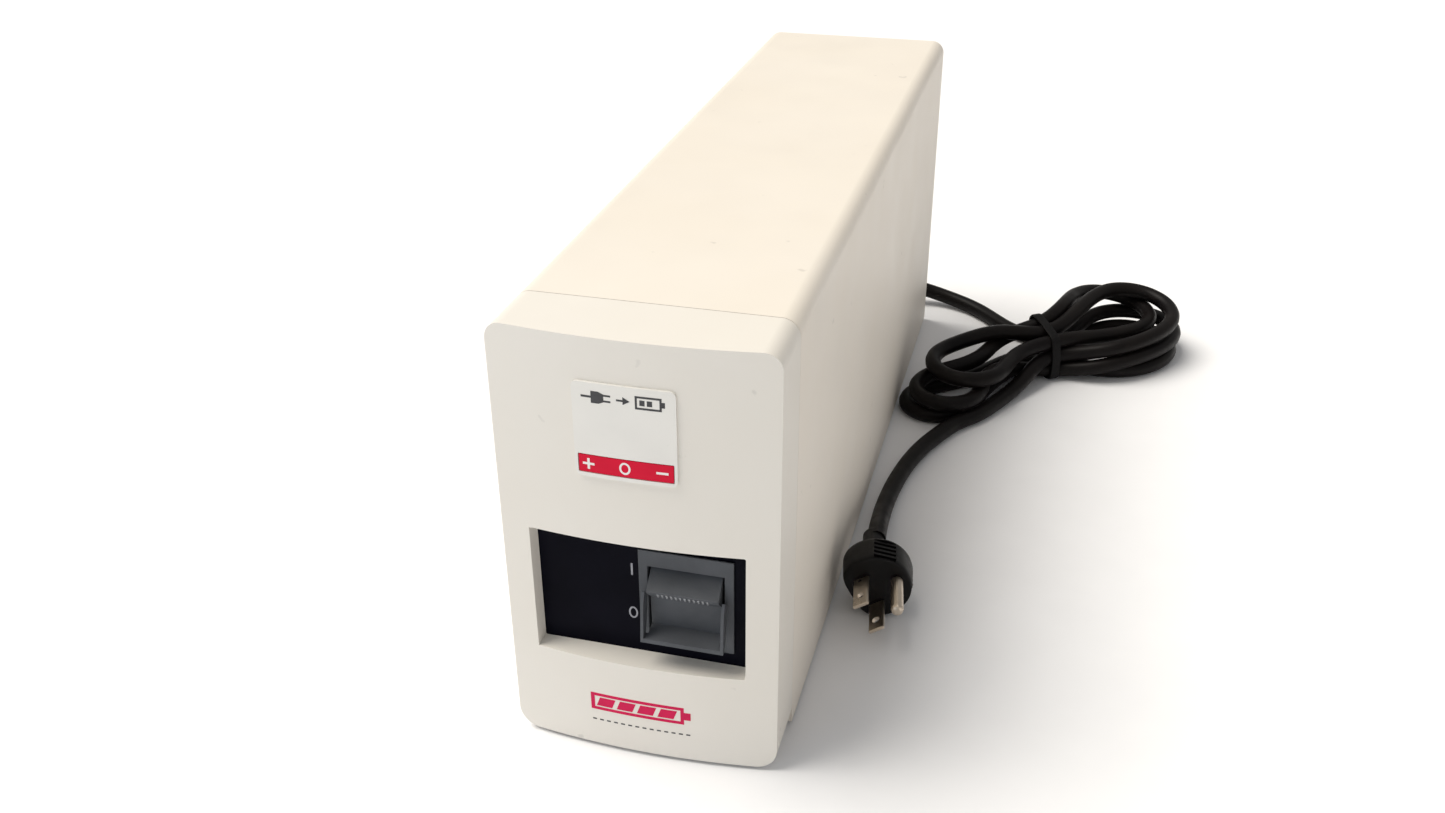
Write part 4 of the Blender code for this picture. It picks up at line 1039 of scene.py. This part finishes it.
def screw_heads():
    """Pan heads with a cross recess, in place of the plain CAD screws."""
    for sign, side in ((-1, "left"), (1, "right")):
        for row, z in REAR_SCREW_Z.items():
            name = f"rear_screw_{row}_{side}"
            screw_head(name + "_head", mm(sign * REAR_SCREW_X, REAR_SCREW_Y, z), "Y", name)
    for sign, side in ((-1, "left"), (1, "right")):
        name = f"door_screw_{side}"
        screw_head(name + "_head", mm(sign * DOOR_SCREW_X, DOOR_SCREW_Y, DOOR_SCREW_Z), "-Z", name)


def screw_head(name, place, axis, node):
    """A screw facing along the axis. Facing down, its head is flatter."""
    profile = [(0, 1.8), (1.0, 1.78), (1.9, 1.6), (2.6, 1.25), (3.05, 0.75), (3.2, 0.3), (3.2, 0), (1.5, 0),
               (1.5, -7.5), (0, -7.9)]
    sides, slot_half, slot_width, slot_floor, flatter = 32, 1.9, 0.33, 0.75, 0.55
    turn = [2 * math.pi * i / sides for i in range(sides)]
    bm = bmesh.new()
    rings = []
    for radius, height in profile:
        if radius == 0:
            rings.append([bm.verts.new(mm(0, 0, height))] * sides)
        else:
            circle = [mm(radius * math.cos(a), radius * math.sin(a), height) for a in turn]
            rings.append([bm.verts.new(point) for point in circle])
    for near, far in zip(rings, rings[1:]):
        bridge(bm, near, far)
    head = from_bmesh(name, bm)
    facing = turn_to("Y") if axis == "Y" else Matrix.Rotation(math.pi, 4, "X")
    squash = Matrix.Diagonal((1, 1, flatter if axis == "-Z" else 1.0, 1))
    matrix = Matrix.Translation(place) @ facing @ squash
    for k, (u, v) in enumerate(((slot_half, slot_width), (slot_width, slot_half))):
        slot = box(f"{name}_slot{k}", (-u, -v, slot_floor), (u, v, 3))
        slot.matrix_world = matrix
        boolean(head, slot, "DIFFERENCE")
    head.matrix_world = matrix
    bevel(head, 0.08, 1, 50)
    show(settle(head), steel(), "case", (node,))


def cad_finishes():
    """Materials for the CAD nodes that keep their own shape."""
    black = finish("black_plastic", (0.02, 0.02, 0.022), 0.42, grain=(1500, 0.12), vary=0.15, mottle=90)
    rubber = finish("foot_rubber", (0.022, 0.022, 0.024), 0.7, grain=(1200, 0.2), vary=0.2, mottle=150)
    board = finish("circuit_board", (0.015, 0.11, 0.045), 0.4, grain=(700, 0.12), vary=0.2, mottle=260,
                   tint=(0.03, 0.17, 0.075))
    brass = finish("brass", (0.62, 0.45, 0.2), 0.3, metal=1.0, vary=0.15, mottle=200)
    brushed = {"grain": (2, 0.15), "vary": 0.15, "mottle": 1}
    sleeve = finish("capacitor_sleeve", (0.03, 0.045, 0.09), 0.35, vary=0.15, mottle=120)
    chosen = {
        "control_panel": black_gloss(), "rocker_pin": steel(), "switch_body": black, "lamp_board": board,
        "lamp_on_line": finish("lamp_green", (0.05, 0.42, 0.1), 0.22, vary=0.1, mottle=200),
        "lamp_on_battery": finish("lamp_red", (0.5, 0.03, 0.02), 0.22, vary=0.1, mottle=200),
        "base_tray": steel(), "rear_panel": painted_steel(),
        "battery": finish("battery_case", (0.045, 0.05, 0.06), 0.5, grain=(900, 0.15), vary=0.15, mottle=40),
        "battery_door": cream(), "terminal_negative": brass, "terminal_positive": brass,
        "battery_lead_negative": finish("wire_black", (0.012, 0.012, 0.013), 0.4, vary=0.2, mottle=200),
        "battery_lead_positive": finish("wire_red", (0.45, 0.012, 0.012), 0.4, vary=0.15, mottle=200),
        "transformer_core": finish("lamination", (0.16, 0.16, 0.17), 0.45, metal=0.6, streak=(900, 6, 6),
                                   grain=(2, 0.2), vary=0.25, mottle=1),
        "transformer_coil": finish("coil_tape", (0.55, 0.36, 0.06), 0.4, streak=(20, 20, 500), **brushed),
        "transformer_clamp": steel(), "main_board": board,
        "heat_sink": finish("heat_sink", (0.62, 0.62, 0.64), 0.38, metal=1.0, streak=(400, 8, 400),
                            **brushed),
        "transfer_relay": black, "buzzer": black, "capacitor_1": sleeve, "capacitor_2": sleeve,
        "breaker_body": black, "breaker_nut": steel(),
        "breaker_button": finish("button_black", (0.018, 0.018, 0.02), 0.35, grain=(1500, 0.1), vary=0.2,
                                 mottle=200),
    }
    for n in (1, 2, 3):
        chosen[f"outlet_{n}"] = black
    for end in ("front", "rear"):
        for side in ("left", "right"):
            chosen[f"foot_{end}_{side}"] = rubber
    for name in PLUG_PINS:
        chosen[name] = nickel()
    for name, material in chosen.items():
        obj = NODES[name]
        for slot in obj.material_slots:
            slot.link = "OBJECT"
            slot.material = material
        if not obj.material_slots:
            obj.data.materials.append(material)


add_camera()
studio()
cord, cord_line = mains_cord()
strap = cord_strap(cord_line)
boot = strain_boot()
plug = plug_moulding()
cover_shell()
bezel_shell()
badge()
badge_print()
bezel_print()
switch_print()
switch_bezel()
rocker_key()
rocker_teeth()
screw_heads()
cad_finishes()
